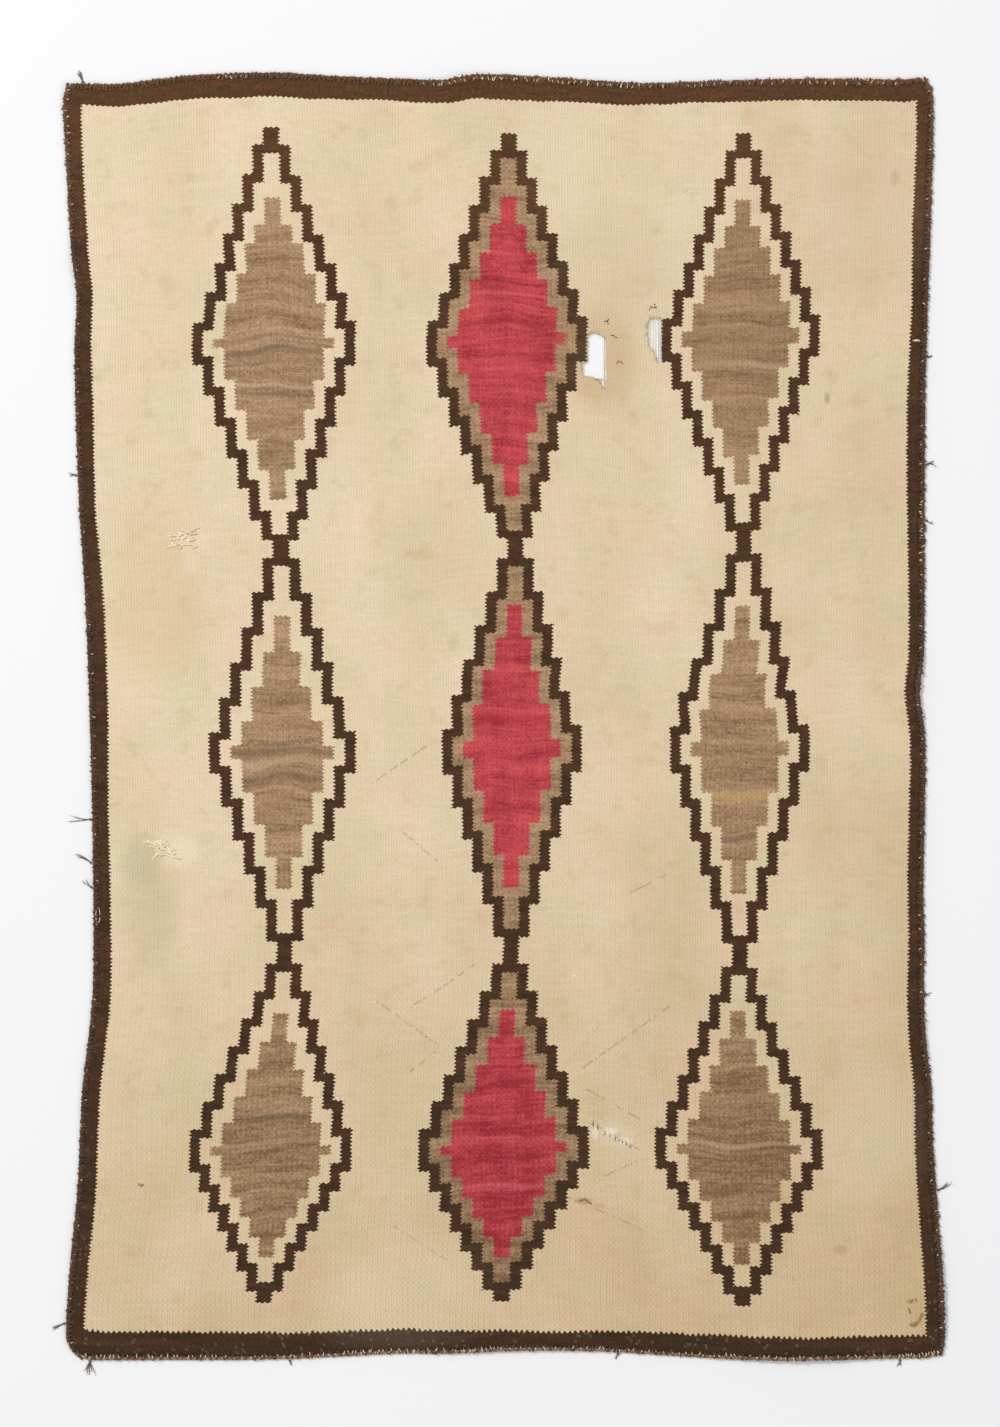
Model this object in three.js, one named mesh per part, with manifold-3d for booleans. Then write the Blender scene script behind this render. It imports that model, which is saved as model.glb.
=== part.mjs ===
// A flat hand-woven wool rug: one weft-faced tapestry web, a twisted cord laid along each of its
// four edges, the frayed yarn ends that have worked loose from those cords, and two darned mends.
// Millimetres, +Z up. The rug lies face up, its warps run along Y, and its underside is on Z = 0.
import * as THREE from "three";
import { mergeVertices } from "three/addons/utils/BufferGeometryUtils.js";
import Module from "manifold-3d";

// Driving sizes
const LENGTH = 1826; // along the warps, over both end cords
const THICKNESS = 3.6; // of the web
const CORD_DIAMETER = 5;
const GAP = 0.3; // between neighbouring pieces
const CORD_CLEARANCE = 0.02; // under a cord, whose sections tilt a little where it bends
const WARP_DIAMETER = 1.6;
const CELLS_ACROSS = 28; // the web's facets
const CELLS_ALONG = 44;
const CROWDING = 0.5; // how much closer the facets stand near the corners than midway, 0 to 1
const FLAT_BELOW = 0.35; // a swell lower than this leaves the cloth flat on the floor
const YARN = 1.5; // a frayed ply, as wide and as high
const KNOT_RADIUS = 2.6;
const DARN_YARN = { width: 3, height: 2.2 };

const CREAM = { color: 0xddc9a0, roughness: 0.95, metalness: 0 };
const DARK_BROWN = { color: 0x4a3528, roughness: 0.95, metalness: 0 };
const LIGHT_BROWN = { color: 0x7d6450, roughness: 0.95, metalness: 0 };

// How far the outer edge of each side cord stands from the centre line, at heights above the lower end
const LEFT_SIDE = [
  { up: 0, out: 608 },
  { up: 12, out: 620 },
  { up: 30, out: 625 },
  { up: 95, out: 622 },
  { up: 165, out: 616 },
  { up: 235, out: 609 },
  { up: 380, out: 602 },
  { up: 450, out: 594 },
  { up: 525, out: 587 },
  { up: 665, out: 586 },
  { up: 880, out: 590 },
  { up: 1095, out: 598 },
  { up: 1235, out: 607 },
  { up: 1450, out: 613 },
  { up: 1525, out: 610 },
  { up: 1595, out: 618 },
  { up: 1735, out: 626 },
  { up: 1805, out: 629 },
  { up: 1826, out: 625 },
];
const RIGHT_SIDE = [
  { up: 0, out: 629 },
  { up: 14, out: 632 },
  { up: 95, out: 630 },
  { up: 165, out: 625 },
  { up: 305, out: 615 },
  { up: 380, out: 613 },
  { up: 450, out: 605 },
  { up: 525, out: 602 },
  { up: 595, out: 603 },
  { up: 665, out: 601 },
  { up: 880, out: 604 },
  { up: 950, out: 596 },
  { up: 1008, out: 602 },
  { up: 1235, out: 603 },
  { up: 1380, out: 604 },
  { up: 1520, out: 608 },
  { up: 1665, out: 613 },
  { up: 1806, out: 615 },
  { up: 1826, out: 607 },
];
// How far each end's outer edge stands beyond its straight line, at places across the rug
const UPPER_END = [
  { across: -626, out: -8 },
  { across: -548, out: -8 },
  { across: -490, out: -1 },
  { across: -433, out: 5 },
  { across: -319, out: 8 },
  { across: -262, out: 4 },
  { across: -147, out: -1 },
  { across: -90, out: -3 },
  { across: -33, out: 5 },
  { across: 81, out: 0 },
  { across: 196, out: -7 },
  { across: 310, out: -4 },
  { across: 425, out: -1 },
  { across: 570, out: -2 },
  { across: 606, out: 1 },
];
const LOWER_END = [
  { across: -608, out: 5 },
  { across: -580, out: 7 },
  { across: -476, out: 7 },
  { across: -319, out: 6 },
  { across: -147, out: -2 },
  { across: -76, out: -2 },
  { across: 24, out: -6 },
  { across: 139, out: -5 },
  { across: 225, out: 0 },
  { across: 325, out: 6 },
  { across: 410, out: 8 },
  { across: 560, out: 5 },
  { across: 605, out: 4 },
  { across: 629, out: -1 },
];

// Low swells where the old cloth stands off the floor: middle, height, half width and half length
const SWELLS = [
  { x: 430, y: -4, rise: 6, wide: 95, long: 34 },
  { x: -620, y: 1548, rise: 5, wide: 42, long: 40 },
  { x: -70, y: 1836, rise: 4.5, wide: 60, long: 26 },
  { x: 606, y: 952, rise: 5, wide: 36, long: 44 },
  { x: -316, y: 1430, rise: 3.2, wide: 62, long: 120 },
  { x: 520, y: 448, rise: 3.4, wide: 110, long: 38 },
  { x: -520, y: 405, rise: 2.6, wide: 100, long: 34 },
  { x: 634, y: 96, rise: 4, wide: 40, long: 70 },
  { x: -628, y: 1830, rise: 4, wide: 50, long: 44 },
  { x: 20, y: -8, rise: 3.6, wide: 120, long: 30 },
];

// Two holes where the weft has worn away, drawn about their middles, and the bare warps left in each
const WORN_HOLES = [
  {
    x: 133,
    y: 1430,
    outline: [
      [-13, 27], [-6, 31], [3, 30], [9, 26], [14, 24], [15, 0], [15, -30],
      [13, -48], [8, -50], [6, -36], [-4, -33], [-19, -29], [-21, -14], [-13, -8], [-13, 8],
    ],
    warps: [11],
  },
  {
    x: 217,
    y: 1450,
    outline: [
      [-11, 22], [-7, 32], [10, 32], [10, 0], [10, -31], [3, -30], [-2, -14], [-10, -6],
    ],
    warps: [-7.2, -3.4, 0.4, 4.2, 8],
  },
];

// Yarn ends loose at the edges: the cord that each comes from, how far along that cord, the way it
// points and how wide it fans in degrees, its longest strand, and how far each strand bends
const FRAYS = [
  { name: "fray_left_corner", cord: "left", at: 45, heading: 200, fan: 16, reach: 19, strands: 3, curl: 12 },
  { name: "fray_left_low_a", cord: "left", at: 669, heading: 146, fan: 12, reach: 17, strands: 2, curl: -20 },
  { name: "fray_left_low_b", cord: "left", at: 704, heading: 142, fan: 14, reach: 25, strands: 3, curl: 20 },
  { name: "fray_left_low_c", cord: "left", at: 766, heading: 186, fan: 8, reach: 37, strands: 2, curl: -16 },
  { name: "fray_left_high", cord: "left", at: 1258, heading: 170, fan: 30, reach: 8, strands: 3, curl: 10 },
  { name: "fray_right_low_a", cord: "right", at: 236, heading: 22, fan: 20, reach: 19, strands: 3, curl: 18 },
  { name: "fray_right_low_b", cord: "right", at: 515, heading: 14, fan: 26, reach: 7, strands: 2, curl: -16 },
  { name: "fray_right_high_a", cord: "right", at: 1193, heading: -50, fan: 16, reach: 12, strands: 2, curl: 60 },
  { name: "fray_right_high_b", cord: "right", at: 1273, heading: 30, fan: 18, reach: 13, strands: 3, curl: -40 },
  { name: "fray_right_high_c", cord: "right", at: 1427, heading: 6, fan: 24, reach: 6, strands: 2, curl: 20 },
  { name: "fray_upper_corner", cord: "upper", at: 17, heading: 108, fan: 26, reach: 17, strands: 4, curl: 10 },
  { name: "fray_lower_corner", cord: "lower", at: 6, heading: 262, fan: 58, reach: 20, strands: 5, curl: 12 },
  { name: "fray_lower_a", cord: "lower", at: 292, heading: 280, fan: 24, reach: 6, strands: 2, curl: 8 },
  { name: "fray_lower_b", cord: "lower", at: 761, heading: 232, fan: 20, reach: 8, strands: 2, curl: 14 },
  { name: "fray_lower_c", cord: "lower", at: 1164, heading: 268, fan: 30, reach: 8, strands: 3, curl: -12 },
];
const OUTWARD = { left: [-1, 0], right: [1, 0], lower: [0, -1], upper: [0, 1] };

// How far each cord runs on past the web's corners: a side cord covers the end cord's thickness, and
// an end cord stops short of the side cords, soonest at the cut-off lower left corner
const SIDE_RUN = CORD_DIAMETER + GAP;
const RUNS_ON = {
  left: { first: SIDE_RUN, last: SIDE_RUN },
  right: { first: SIDE_RUN, last: SIDE_RUN },
  lower: { first: -7, last: -2 },
  upper: { first: -2, last: -3 },
};

// Mends of thick cream yarn, each a tuft of stitches laid over one another
const MENDS = [
  {
    name: "darn_upper",
    x: -457,
    y: 1163,
    stitches: [
      { x: -4, y: 12, turn: 12, length: 40 },
      { x: 14, y: 17, turn: 22, length: 26 },
      { x: -8, y: 5, turn: 8, length: 30 },
      { x: 7, y: -5, turn: 0, length: 26 },
      { x: -14, y: -6, turn: 18, length: 30 },
      { x: -4, y: -2, turn: 78, length: 24 },
      { x: 5, y: 6, turn: 62, length: 26 },
    ],
  },
  {
    name: "darn_lower",
    x: -487,
    y: 721,
    stitches: [
      { x: -9, y: 15, turn: 4, length: 42 },
      { x: -6, y: 8, turn: -25, length: 38 },
      { x: 2, y: -2, turn: -28, length: 42 },
      { x: 12, y: -8, turn: -16, length: 36 },
      { x: 12, y: 2, turn: -62, length: 26 },
      { x: -10, y: 0, turn: 70, length: 28 },
      { x: 0, y: 1, turn: 48, length: 34 },
    ],
  },
];

const wasm = await Module();
wasm.setup();

// A smooth reading of a table: the column `to` at a place on the column `by`
function read(table, by, to, place) {
  const next = table.findIndex((row) => row[by] > place);
  const i = THREE.MathUtils.clamp(next < 0 ? table.length - 2 : next - 1, 0, table.length - 2);
  const slope = (k) => {
    const before = table[Math.max(k - 1, 0)];
    const after = table[Math.min(k + 1, table.length - 1)];
    return (after[to] - before[to]) / (after[by] - before[by]);
  };
  const [a, b] = [table[i], table[i + 1]];
  const span = b[by] - a[by];
  const t = THREE.MathUtils.clamp((place - a[by]) / span, 0, 1);
  const turning = 3 * t ** 2 - 2 * t ** 3;
  const leaving = (t ** 3 - 2 * t ** 2 + t) * span * slope(i);
  const arriving = (t ** 3 - t ** 2) * span * slope(i + 1);
  return THREE.MathUtils.lerp(a[to], b[to], turning) + leaving + arriving;
}

// How far the cloth stands off the floor
function lift(x, y) {
  const height = SWELLS.reduce(
    (sum, swell) =>
      sum + swell.rise * Math.exp(-(((x - swell.x) / swell.wide) ** 2) - ((y - swell.y) / swell.long) ** 2),
    0,
  );
  return Math.max(0, height - FLAT_BELOW);
}

// Facet lines crowd towards the corners, where the outline turns most
function crowded(t) {
  return t - (CROWDING * Math.sin(2 * Math.PI * t)) / (2 * Math.PI);
}

// A place on the web's underside: u runs across from the left edge, v up from the lower edge, 0 to 1
function onWeb(u, v) {
  const edge = CORD_DIAMETER + GAP;
  const up = crowded(v);
  const left = edge - read(LEFT_SIDE, "up", "out", up * LENGTH);
  const right = read(RIGHT_SIDE, "up", "out", up * LENGTH) - edge;
  const x = THREE.MathUtils.lerp(left, right, crowded(u));
  const lower = edge - read(LOWER_END, "across", "out", x);
  const upper = LENGTH + read(UPPER_END, "across", "out", x) - edge;
  const y = THREE.MathUtils.lerp(lower, upper, up);
  return new THREE.Vector3(x, y, lift(x, y));
}

// The manifold-3d solid of a closed geometry, and the geometry of a solid
function solidOf(geometry) {
  const bare = geometry.clone();
  bare.deleteAttribute("normal");
  bare.deleteAttribute("uv");
  const merged = mergeVertices(bare);
  return new wasm.Manifold(
    new wasm.Mesh({
      numProp: 3,
      vertProperties: new Float32Array(merged.attributes.position.array),
      triVerts: new Uint32Array(merged.index.array),
    }),
  );
}

function geometryOf(solid) {
  const { vertProperties, triVerts } = solid.getMesh();
  const geometry = new THREE.BufferGeometry();
  geometry.setAttribute("position", new THREE.BufferAttribute(vertProperties, 3));
  geometry.setIndex(new THREE.BufferAttribute(triVerts, 1));
  geometry.computeVertexNormals();
  return geometry;
}

function fused(geometries) {
  return geometryOf(geometries.map(solidOf).reduce((sum, next) => sum.add(next)));
}

function piece(name, geometry, finish) {
  const mesh = new THREE.Mesh(geometry, new THREE.MeshStandardMaterial(finish));
  mesh.name = name;
  return mesh;
}

// The sheet of cloth: a box of cells laid between the four edges, with the same thickness all over
function clothGeometry() {
  const cloth = new THREE.BoxGeometry(1, 1, 1, CELLS_ACROSS, CELLS_ALONG, 1);
  const position = cloth.attributes.position;
  for (let i = 0; i < position.count; i++) {
    const place = onWeb(position.getX(i) + 0.5, position.getY(i) + 0.5);
    place.z += (position.getZ(i) + 0.5) * THICKNESS;
    position.setXYZ(i, place.x, place.y, place.z);
  }
  return cloth;
}

function holeGeometry({ x, y, outline }) {
  const shape = new THREE.Shape(outline.map(([across, up]) => new THREE.Vector2(x + across, y + up)));
  const depth = THICKNESS * 5;
  return new THREE.ExtrudeGeometry(shape, { depth, bevelEnabled: false }).translate(0, 0, -depth / 2);
}

// A warp that crosses a worn hole and ends inside the cloth above and below it
function bareWarpGeometry({ x, y, outline }, across) {
  const heights = outline.map(([, up]) => up);
  const top = Math.max(...heights);
  const bottom = Math.min(...heights);
  const rooted = 3;
  const warp = new THREE.BoxGeometry(WARP_DIAMETER, top - bottom + 2 * rooted, WARP_DIAMETER);
  return warp.translate(x + across, y + (top + bottom) / 2, THICKNESS / 2);
}

function web() {
  let cloth = solidOf(clothGeometry());
  for (const hole of WORN_HOLES) {
    cloth = cloth.subtract(solidOf(holeGeometry(hole)));
    for (const across of hole.warps) cloth = cloth.add(solidOf(bareWarpGeometry(hole, across)));
  }
  return piece("web", geometryOf(cloth), CREAM);
}

// A route straight from point to point, which a section is carried along with a step at each point
class Route extends THREE.Curve {
  constructor(points) {
    super();
    this.points = points;
  }
  getPoint(t) {
    const last = this.points.length - 1;
    const i = Math.min(Math.floor(t * last), last - 1);
    return this.points[i].clone().lerp(this.points[i + 1], t * last - i);
  }
  getPointAt(t) {
    return this.getPoint(t);
  }
  getTangentAt(t) {
    return this.getTangent(t);
  }
  getSpacedPoints() {
    return this.points;
  }
}

function sweep(section, points) {
  return new THREE.ExtrudeGeometry(new THREE.Shape(section), {
    extrudePath: new Route(points),
    steps: points.length - 1,
    bevelEnabled: false,
  });
}

// An even number of sides, with a flat one underneath at the radius itself
function roundSection(radius, sides) {
  const corner = radius / Math.cos(Math.PI / sides);
  return Array.from({ length: sides }, (_, i) => {
    const angle = (2 * Math.PI * (i + 0.5)) / sides;
    return new THREE.Vector2(corner * Math.cos(angle), corner * Math.sin(angle));
  });
}

// A ridge with its flat foot down, for yarn that lies on something: along a level route, the
// section's first direction points down
function lyingSection(width, height, ridge) {
  const corners = [
    [-height / 2, -ridge / 2],
    [-height / 2, ridge / 2],
    [height / 2, width / 2],
    [height / 2, -width / 2],
  ];
  return (ridge ? corners : corners.slice(1)).map(([down, aside]) => new THREE.Vector2(down, aside));
}

// The middle line of the cord along an edge, point for point beside the web's own edge
function cordLine(name) {
  const side = name === "left" || name === "right";
  const far = name === "right" || name === "upper" ? 1 : 0;
  const count = side ? CELLS_ALONG : CELLS_ACROSS;
  const edge = Array.from({ length: count + 1 }, (_, i) => (side ? onWeb(far, i / count) : onWeb(i / count, far)));
  const line = edge.map((point, i) => {
    const along = edge[Math.min(i + 1, count)].clone().sub(edge[Math.max(i - 1, 0)]);
    const middle = point.clone().addScaledVector(squareTo(along, name), GAP + CORD_DIAMETER / 2);
    return middle.setZ(point.z + CORD_DIAMETER / 2 + CORD_CLEARANCE);
  });
  const first = line[1].clone().sub(line[0]).normalize();
  const last = line[count].clone().sub(line[count - 1]).normalize();
  line[0].addScaledVector(first, -RUNS_ON[name].first);
  line[count].addScaledVector(last, RUNS_ON[name].last);
  return line;
}

// The level direction away from the rug's middle, square to a run along the named edge
function squareTo(along, name) {
  const level = along.clone().setZ(0).normalize();
  const away = new THREE.Vector3(...OUTWARD[name], 0);
  return away.addScaledVector(level, -away.dot(level)).normalize();
}

const LINES = {};
for (const name of Object.keys(OUTWARD)) LINES[name] = cordLine(name);

function cord(name, line, finish) {
  return piece(name, sweep(roundSection(CORD_DIAMETER / 2, 8), line), finish);
}

// A small round knot, flat where it lies
function knotGeometry(root) {
  const profile = [[0, 0], [0.75, 0], [1, 0.7], [0.7, 1.5], [0, 1.75]];
  const points = profile.map(([out, up]) => new THREE.Vector2(out * KNOT_RADIUS, up * KNOT_RADIUS));
  return new THREE.LatheGeometry(points, 7).rotateX(Math.PI / 2).translate(root.x, root.y, 0);
}

// One loose strand on the floor, from the middle of its knot, bending by `curl` degrees on its way
function strandGeometry(root, heading, reach, curl) {
  const steps = 4;
  const points = [root.clone().setZ(YARN / 2)];
  for (let i = 0; i < steps; i++) {
    const angle = THREE.MathUtils.degToRad(heading + (curl * i) / (steps - 1));
    const along = new THREE.Vector3(Math.cos(angle), Math.sin(angle), 0);
    points.push(points[i].clone().addScaledVector(along, reach / steps));
  }
  return sweep(lyingSection(YARN, YARN, 0), points);
}

// A knot beside its cord, with loose strands fanned about their heading and of uneven length
function fray({ name, cord: from, at, heading, fan, reach, strands, curl }) {
  const line = LINES[from];
  const key = from === "left" || from === "right" ? "y" : "x";
  const target = key === "x" ? line[0].x + at : at;
  const i = line.findIndex((point) => point[key] > target);
  const along = line[i].clone().sub(line[i - 1]);
  const place = line[i - 1].clone().addScaledVector(along, (target - line[i - 1][key]) / along[key]);
  const root = place.addScaledVector(squareTo(along, from), CORD_DIAMETER / 2 + GAP + KNOT_RADIUS);
  const geometries = [knotGeometry(root)];
  for (let k = 0; k < strands; k++) {
    const place = strands > 1 ? k / (strands - 1) - 0.5 : 0;
    const shorter = 1 - 0.14 * ((k * 2 + strands) % 3);
    const length = KNOT_RADIUS + reach * shorter;
    geometries.push(strandGeometry(root, heading + fan * place, length, curl * (1 - place)));
  }
  return piece(name, fused(geometries), LIGHT_BROWN);
}

function mend({ name, x, y, stitches }) {
  const { width, height } = DARN_YARN;
  const section = lyingSection(width, height, width / 2);
  const yarns = stitches.map((stitch) => {
    const turn = THREE.MathUtils.degToRad(stitch.turn);
    const half = new THREE.Vector3(Math.cos(turn), Math.sin(turn), 0).multiplyScalar(stitch.length / 2);
    const middle = new THREE.Vector3(x + stitch.x, y + stitch.y, THICKNESS + GAP + height / 2);
    return sweep(section, [middle.clone().sub(half), middle.clone().add(half)]);
  });
  return piece(name, fused(yarns), CREAM);
}

const rug = new THREE.Group();
rug.add(
  web(),
  cord("left_side_cord", LINES.left, DARK_BROWN),
  cord("right_side_cord", LINES.right, DARK_BROWN),
  cord("lower_end_cord", LINES.lower, LIGHT_BROWN),
  cord("upper_end_cord", LINES.upper, DARK_BROWN),
  ...FRAYS.map(fray),
  ...MENDS.map(mend),
);

// The origin is under the middle of the whole rug
const middle = new THREE.Box3().setFromObject(rug).getCenter(new THREE.Vector3());
rug.position.set(-middle.x, -middle.y, 0);

export default rug;
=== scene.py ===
"""An old hand-woven wool rug, laid out flat: the tapestry-woven web with its linked terraced diamonds,
worn holes and stains, the twisted cords along its four edges, the loose plies at those edges and the
mends. Sizes in the tables are millimetres, measured from the cloth's centre line and its lower edge."""

import math
import random
from functools import partial, reduce

import bmesh
import bpy
import numpy as np
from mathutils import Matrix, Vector


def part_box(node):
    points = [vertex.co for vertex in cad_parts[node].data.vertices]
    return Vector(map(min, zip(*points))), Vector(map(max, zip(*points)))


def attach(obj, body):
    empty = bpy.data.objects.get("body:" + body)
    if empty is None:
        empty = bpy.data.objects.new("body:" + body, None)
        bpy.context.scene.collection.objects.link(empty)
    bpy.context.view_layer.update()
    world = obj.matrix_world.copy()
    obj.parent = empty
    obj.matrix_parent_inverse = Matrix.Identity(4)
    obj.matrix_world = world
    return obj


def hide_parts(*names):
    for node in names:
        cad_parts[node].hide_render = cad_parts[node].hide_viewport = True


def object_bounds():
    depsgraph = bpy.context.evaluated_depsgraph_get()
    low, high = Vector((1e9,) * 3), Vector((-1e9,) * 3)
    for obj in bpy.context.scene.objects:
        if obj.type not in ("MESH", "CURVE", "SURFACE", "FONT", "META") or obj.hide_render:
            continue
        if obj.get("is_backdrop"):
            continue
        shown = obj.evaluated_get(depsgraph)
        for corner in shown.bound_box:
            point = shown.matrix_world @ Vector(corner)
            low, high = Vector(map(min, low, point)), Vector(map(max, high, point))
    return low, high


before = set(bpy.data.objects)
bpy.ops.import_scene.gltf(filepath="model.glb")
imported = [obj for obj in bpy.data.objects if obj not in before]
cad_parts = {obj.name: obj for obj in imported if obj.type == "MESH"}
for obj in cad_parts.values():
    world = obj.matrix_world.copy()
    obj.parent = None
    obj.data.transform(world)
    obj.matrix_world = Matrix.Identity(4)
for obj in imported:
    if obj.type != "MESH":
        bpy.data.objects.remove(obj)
CAD_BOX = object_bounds()

bl_info = {
    "name": "Navajo rug",
    "version": (1, 0, 0),
    "blender": (4, 5, 0),
    "location": "3D View > Sidebar > Rug",
    "description": "Builds a worn flat-woven wool rug with its edge cords, loose plies and mends",
    "category": "Object",
}

MM = 0.001
UP = np.array([0, 0, 1])
BODY = "root"

# Short names for the kinds of node that are used most. Those that do sums have their operation too.
MATH = "ShaderNodeMath"
PLUS = "ShaderNodeMath ADD"
MINUS = "ShaderNodeMath SUBTRACT"
TIMES = "ShaderNodeMath MULTIPLY"
OVER = "ShaderNodeMath DIVIDE"
TIMES_PLUS = "ShaderNodeMath MULTIPLY_ADD"
GREATEST = "ShaderNodeMath MAXIMUM"
LEAST = "ShaderNodeMath MINIMUM"
ABOVE = "ShaderNodeMath GREATER_THAN"
BELOW = "ShaderNodeMath LESS_THAN"
FOLD = "ShaderNodeMath PINGPONG"
SIZE = "ShaderNodeMath ABSOLUTE"
NEXT_WHOLE = "ShaderNodeMath CEIL"
VECTOR = "ShaderNodeVectorMath"
MIX = "ShaderNodeMix"
NOISE = "ShaderNodeTexNoise"
RANGE = "ShaderNodeMapRange"
JOIN = "ShaderNodeCombineXYZ"
SPLIT = "ShaderNodeSeparateXYZ"
ATTRIBUTE = "ShaderNodeAttribute"
GROUP = "ShaderNodeGroup"


def table(names, rows):
    """A table's rows as dictionaries, under the names of its columns."""
    return [dict(zip(names.split(), row)) for row in rows]


# The cloth's outline: how far each side cord's outer edge stands from the centre line, at heights
# above the lower end, and how far each end's outer edge stands beyond its straight line
LENGTH = 1826
LEFT_SIDE = {
    "up": [0, 12, 30, 95, 165, 235, 380, 450, 525, 665, 880, 1095, 1235, 1450, 1525, 1595, 1735, 1805, 1826],
    "out": [608, 620, 625, 622, 616, 609, 602, 594, 587, 586, 590, 598, 607, 613, 610, 618, 626, 629, 625],
}
RIGHT_SIDE = {
    "up": [0, 14, 95, 165, 305, 380, 450, 525, 595, 665, 880, 950, 1008, 1235, 1380, 1520, 1665, 1806, 1826],
    "out": [629, 632, 630, 625, 615, 613, 605, 602, 603, 601, 604, 596, 602, 603, 604, 608, 613, 615, 607],
}
UPPER_END = {
    "across": [-626, -548, -490, -433, -319, -262, -147, -90, -33, 81, 196, 310, 425, 570, 606],
    "out": [-8, -8, -1, 5, 8, 4, -1, -3, 5, 0, -7, -4, -1, -2, 1],
}
LOWER_END = {
    "across": [-608, -580, -476, -319, -147, -76, 24, 139, 225, 325, 410, 560, 605, 629],
    "out": [5, 7, 7, 6, -2, -2, -6, -5, 0, 6, 8, 5, 4, -1],
}

# Low swells where the old cloth stands off the floor
SWELLS = table("x y rise wide long", [
    (430, -4, 6, 95, 34),
    (-620, 1548, 5, 42, 40),
    (-70, 1836, 4.5, 60, 26),
    (606, 952, 5, 36, 44),
    (-316, 1430, 3.2, 62, 120),
    (520, 448, 3.4, 110, 38),
    (-520, 405, 2.6, 100, 34),
    (634, 96, 4, 40, 70),
    (-628, 1830, 4, 50, 44),
    (20, -8, 3.6, 120, 30),
])
FLAT_BELOW = 0.35

# The web's facets in the frame's solid, from which the cloth's place in the frame is worked out
SOLID_CELLS = (28, 44)
SOLID_CROWDING = 0.5

# The weaver's chart. Columns of diamonds stand at even spacings on it, and the rows' levels are the
# same in each column. On the cloth they wander: the columns' centre lines by height, and each row's
# half width and heights in the left, middle and right column. The centre starts about two bands deep.
# The sole is the lowest ledge but one, given where the ledges under the hip aren't evenly spaced.
WOVEN_WIDTH = 1220
COLUMN_SPACING = 338
CENTRES = {
    "up": [80, 294, 579, 864, 1157, 1449, 1750],
    "left": [-339, -339, -332, -333, -325, -327, -323],
    "middle": [-6, -5, 3, 6, 18, 8, 14],
    "right": [332, 335, 342, 341, 351, 346, 346],
}
ROWS = [
    {
        "terraces": 7, "half_width": (118, 116, 114),
        "centre_tip": (2.15, 2.09, 2.17), "centre_above": (1.83, 2.09, 1.94),
        "centre_beside": (2.01, 1.99, 1.92), "centre_below": (1.94, 2.09, 2.02),
        "first": (1728, 1723, 1731), "shoulder": (1477, 1487, 1493), "hip": (1416, 1418, 1433),
        "sole": (1192, 1201, 1226), "last": (1164, 1165, 1185),
    },
    {
        "terraces": 6, "half_width": (108, 103, 103),
        "centre_tip": (2.18, 1.9, 2.02), "centre_above": (2.18, 1.9, 2.02),
        "centre_beside": (1.97, 1.95, 1.98), "centre_below": (1.93, 1.97, 1.92),
        "first": (1139, 1136, 1152), "shoulder": (891, 896, 906), "hip": (832, 827, 838),
        "last": (591, 591, 592),
    },
    {
        "terraces": 7, "half_width": (117, 123, 120),
        "centre_tip": (2.18, 2.06, 2.0), "centre_above": (2.18, 2.06, 2.0),
        "centre_beside": (2.0, 2.0, 1.98), "centre_below": (1.9, 1.88, 1.75),
        "first": (560, 552, 558), "shoulder": (325, 317, 325), "hip": (263, 254, 268),
        "last": (93, 83, 88),
    },
]
TIPS = {"upper": 1751, "lower": 72}
COLUMNS_REACH = 1.4  # how far from the middle the diamonds go, in columns
NECK_HALF_WIDTH = 11.4  # three warps
# Where the depth of the centre's start is read, above and below a row's middle
CENTRE_STEPS = [("below", -45), ("beside", -25), ("beside", 25), ("above", 45), ("above", 140), ("tip", 168)]
BAND_OVERLAP = 12  # how much taller than a terrace each band inside a diamond is
SIDE_BORDERS = {
    "up": [0, 80, 220, 370, 510, 650, 790, 940, 1080, 1220, 1370, 1510, 1620, 1720, 1826],
    "left": [21, 21, 22, 21, 22, 20.5, 19, 22.5, 22.5, 18.5, 21, 18, 20, 19, 21.5],
    "right": [22, 22, 22.5, 20.5, 19.5, 18, 18, 17, 18, 20.5, 21, 18, 21, 19, 19.5],
}
UPPER_BORDER = {
    "across": [-610, -530, -312, -150, 10, 90, 170, 250, 400, 610],
    "height": [24, 28, 30, 27, 31, 29, 27.5, 25.5, 26, 26.5],
}
LOWER_BORDER = {
    "across": [-610, -430, -270, -150, -40, 60, 200, 320, 450, 610],
    "height": [36.5, 35, 32, 30, 27, 22, 27, 29, 27.5, 28],
}

# Two holes where the weft has worn away, drawn about their middles, and the warps left across each
WORN_HOLES = [
    {
        "x": 133,
        "y": 1430,
        "outline": [
            (-13, 27), (-6, 31), (3, 30), (9, 26), (14, 24), (15, 0), (15, -30),
            (13, -48), (8, -50), (6, -36), (-4, -33), (-19, -29), (-21, -14), (-13, -8), (-13, 8),
        ],
        "warps": [11.2],
    },
    {
        "x": 217,
        "y": 1450,
        "outline": [(-11, 22), (-7, 32), (10, 32), (10, 0), (10, -31), (3, -30), (-2, -14), (-10, -6)],
        "warps": [-7.2, -3.4, 0.4, 4.2, 8],
    },
]


def linear(code):
    """An sRGB hex colour as the linear colour, with alpha, that Blender's sockets take."""
    parts = [int(code[i : i + 2], 16) / 255 for i in (0, 2, 4)]
    return (*(c / 12.92 if c <= 0.04045 else ((c + 0.055) / 1.055) ** 2.4 for c in parts), 1.0)


def colour_setting(name, text, code):
    return bpy.props.FloatVectorProperty(
        name=name, description=text, subtype="COLOR", size=4, min=0, max=1, default=linear(code)
    )


def length_setting(name, text, millimetres):
    return bpy.props.FloatProperty(
        name=name, description=text, unit="LENGTH", subtype="DISTANCE", min=0, default=millimetres * MM
    )


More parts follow.
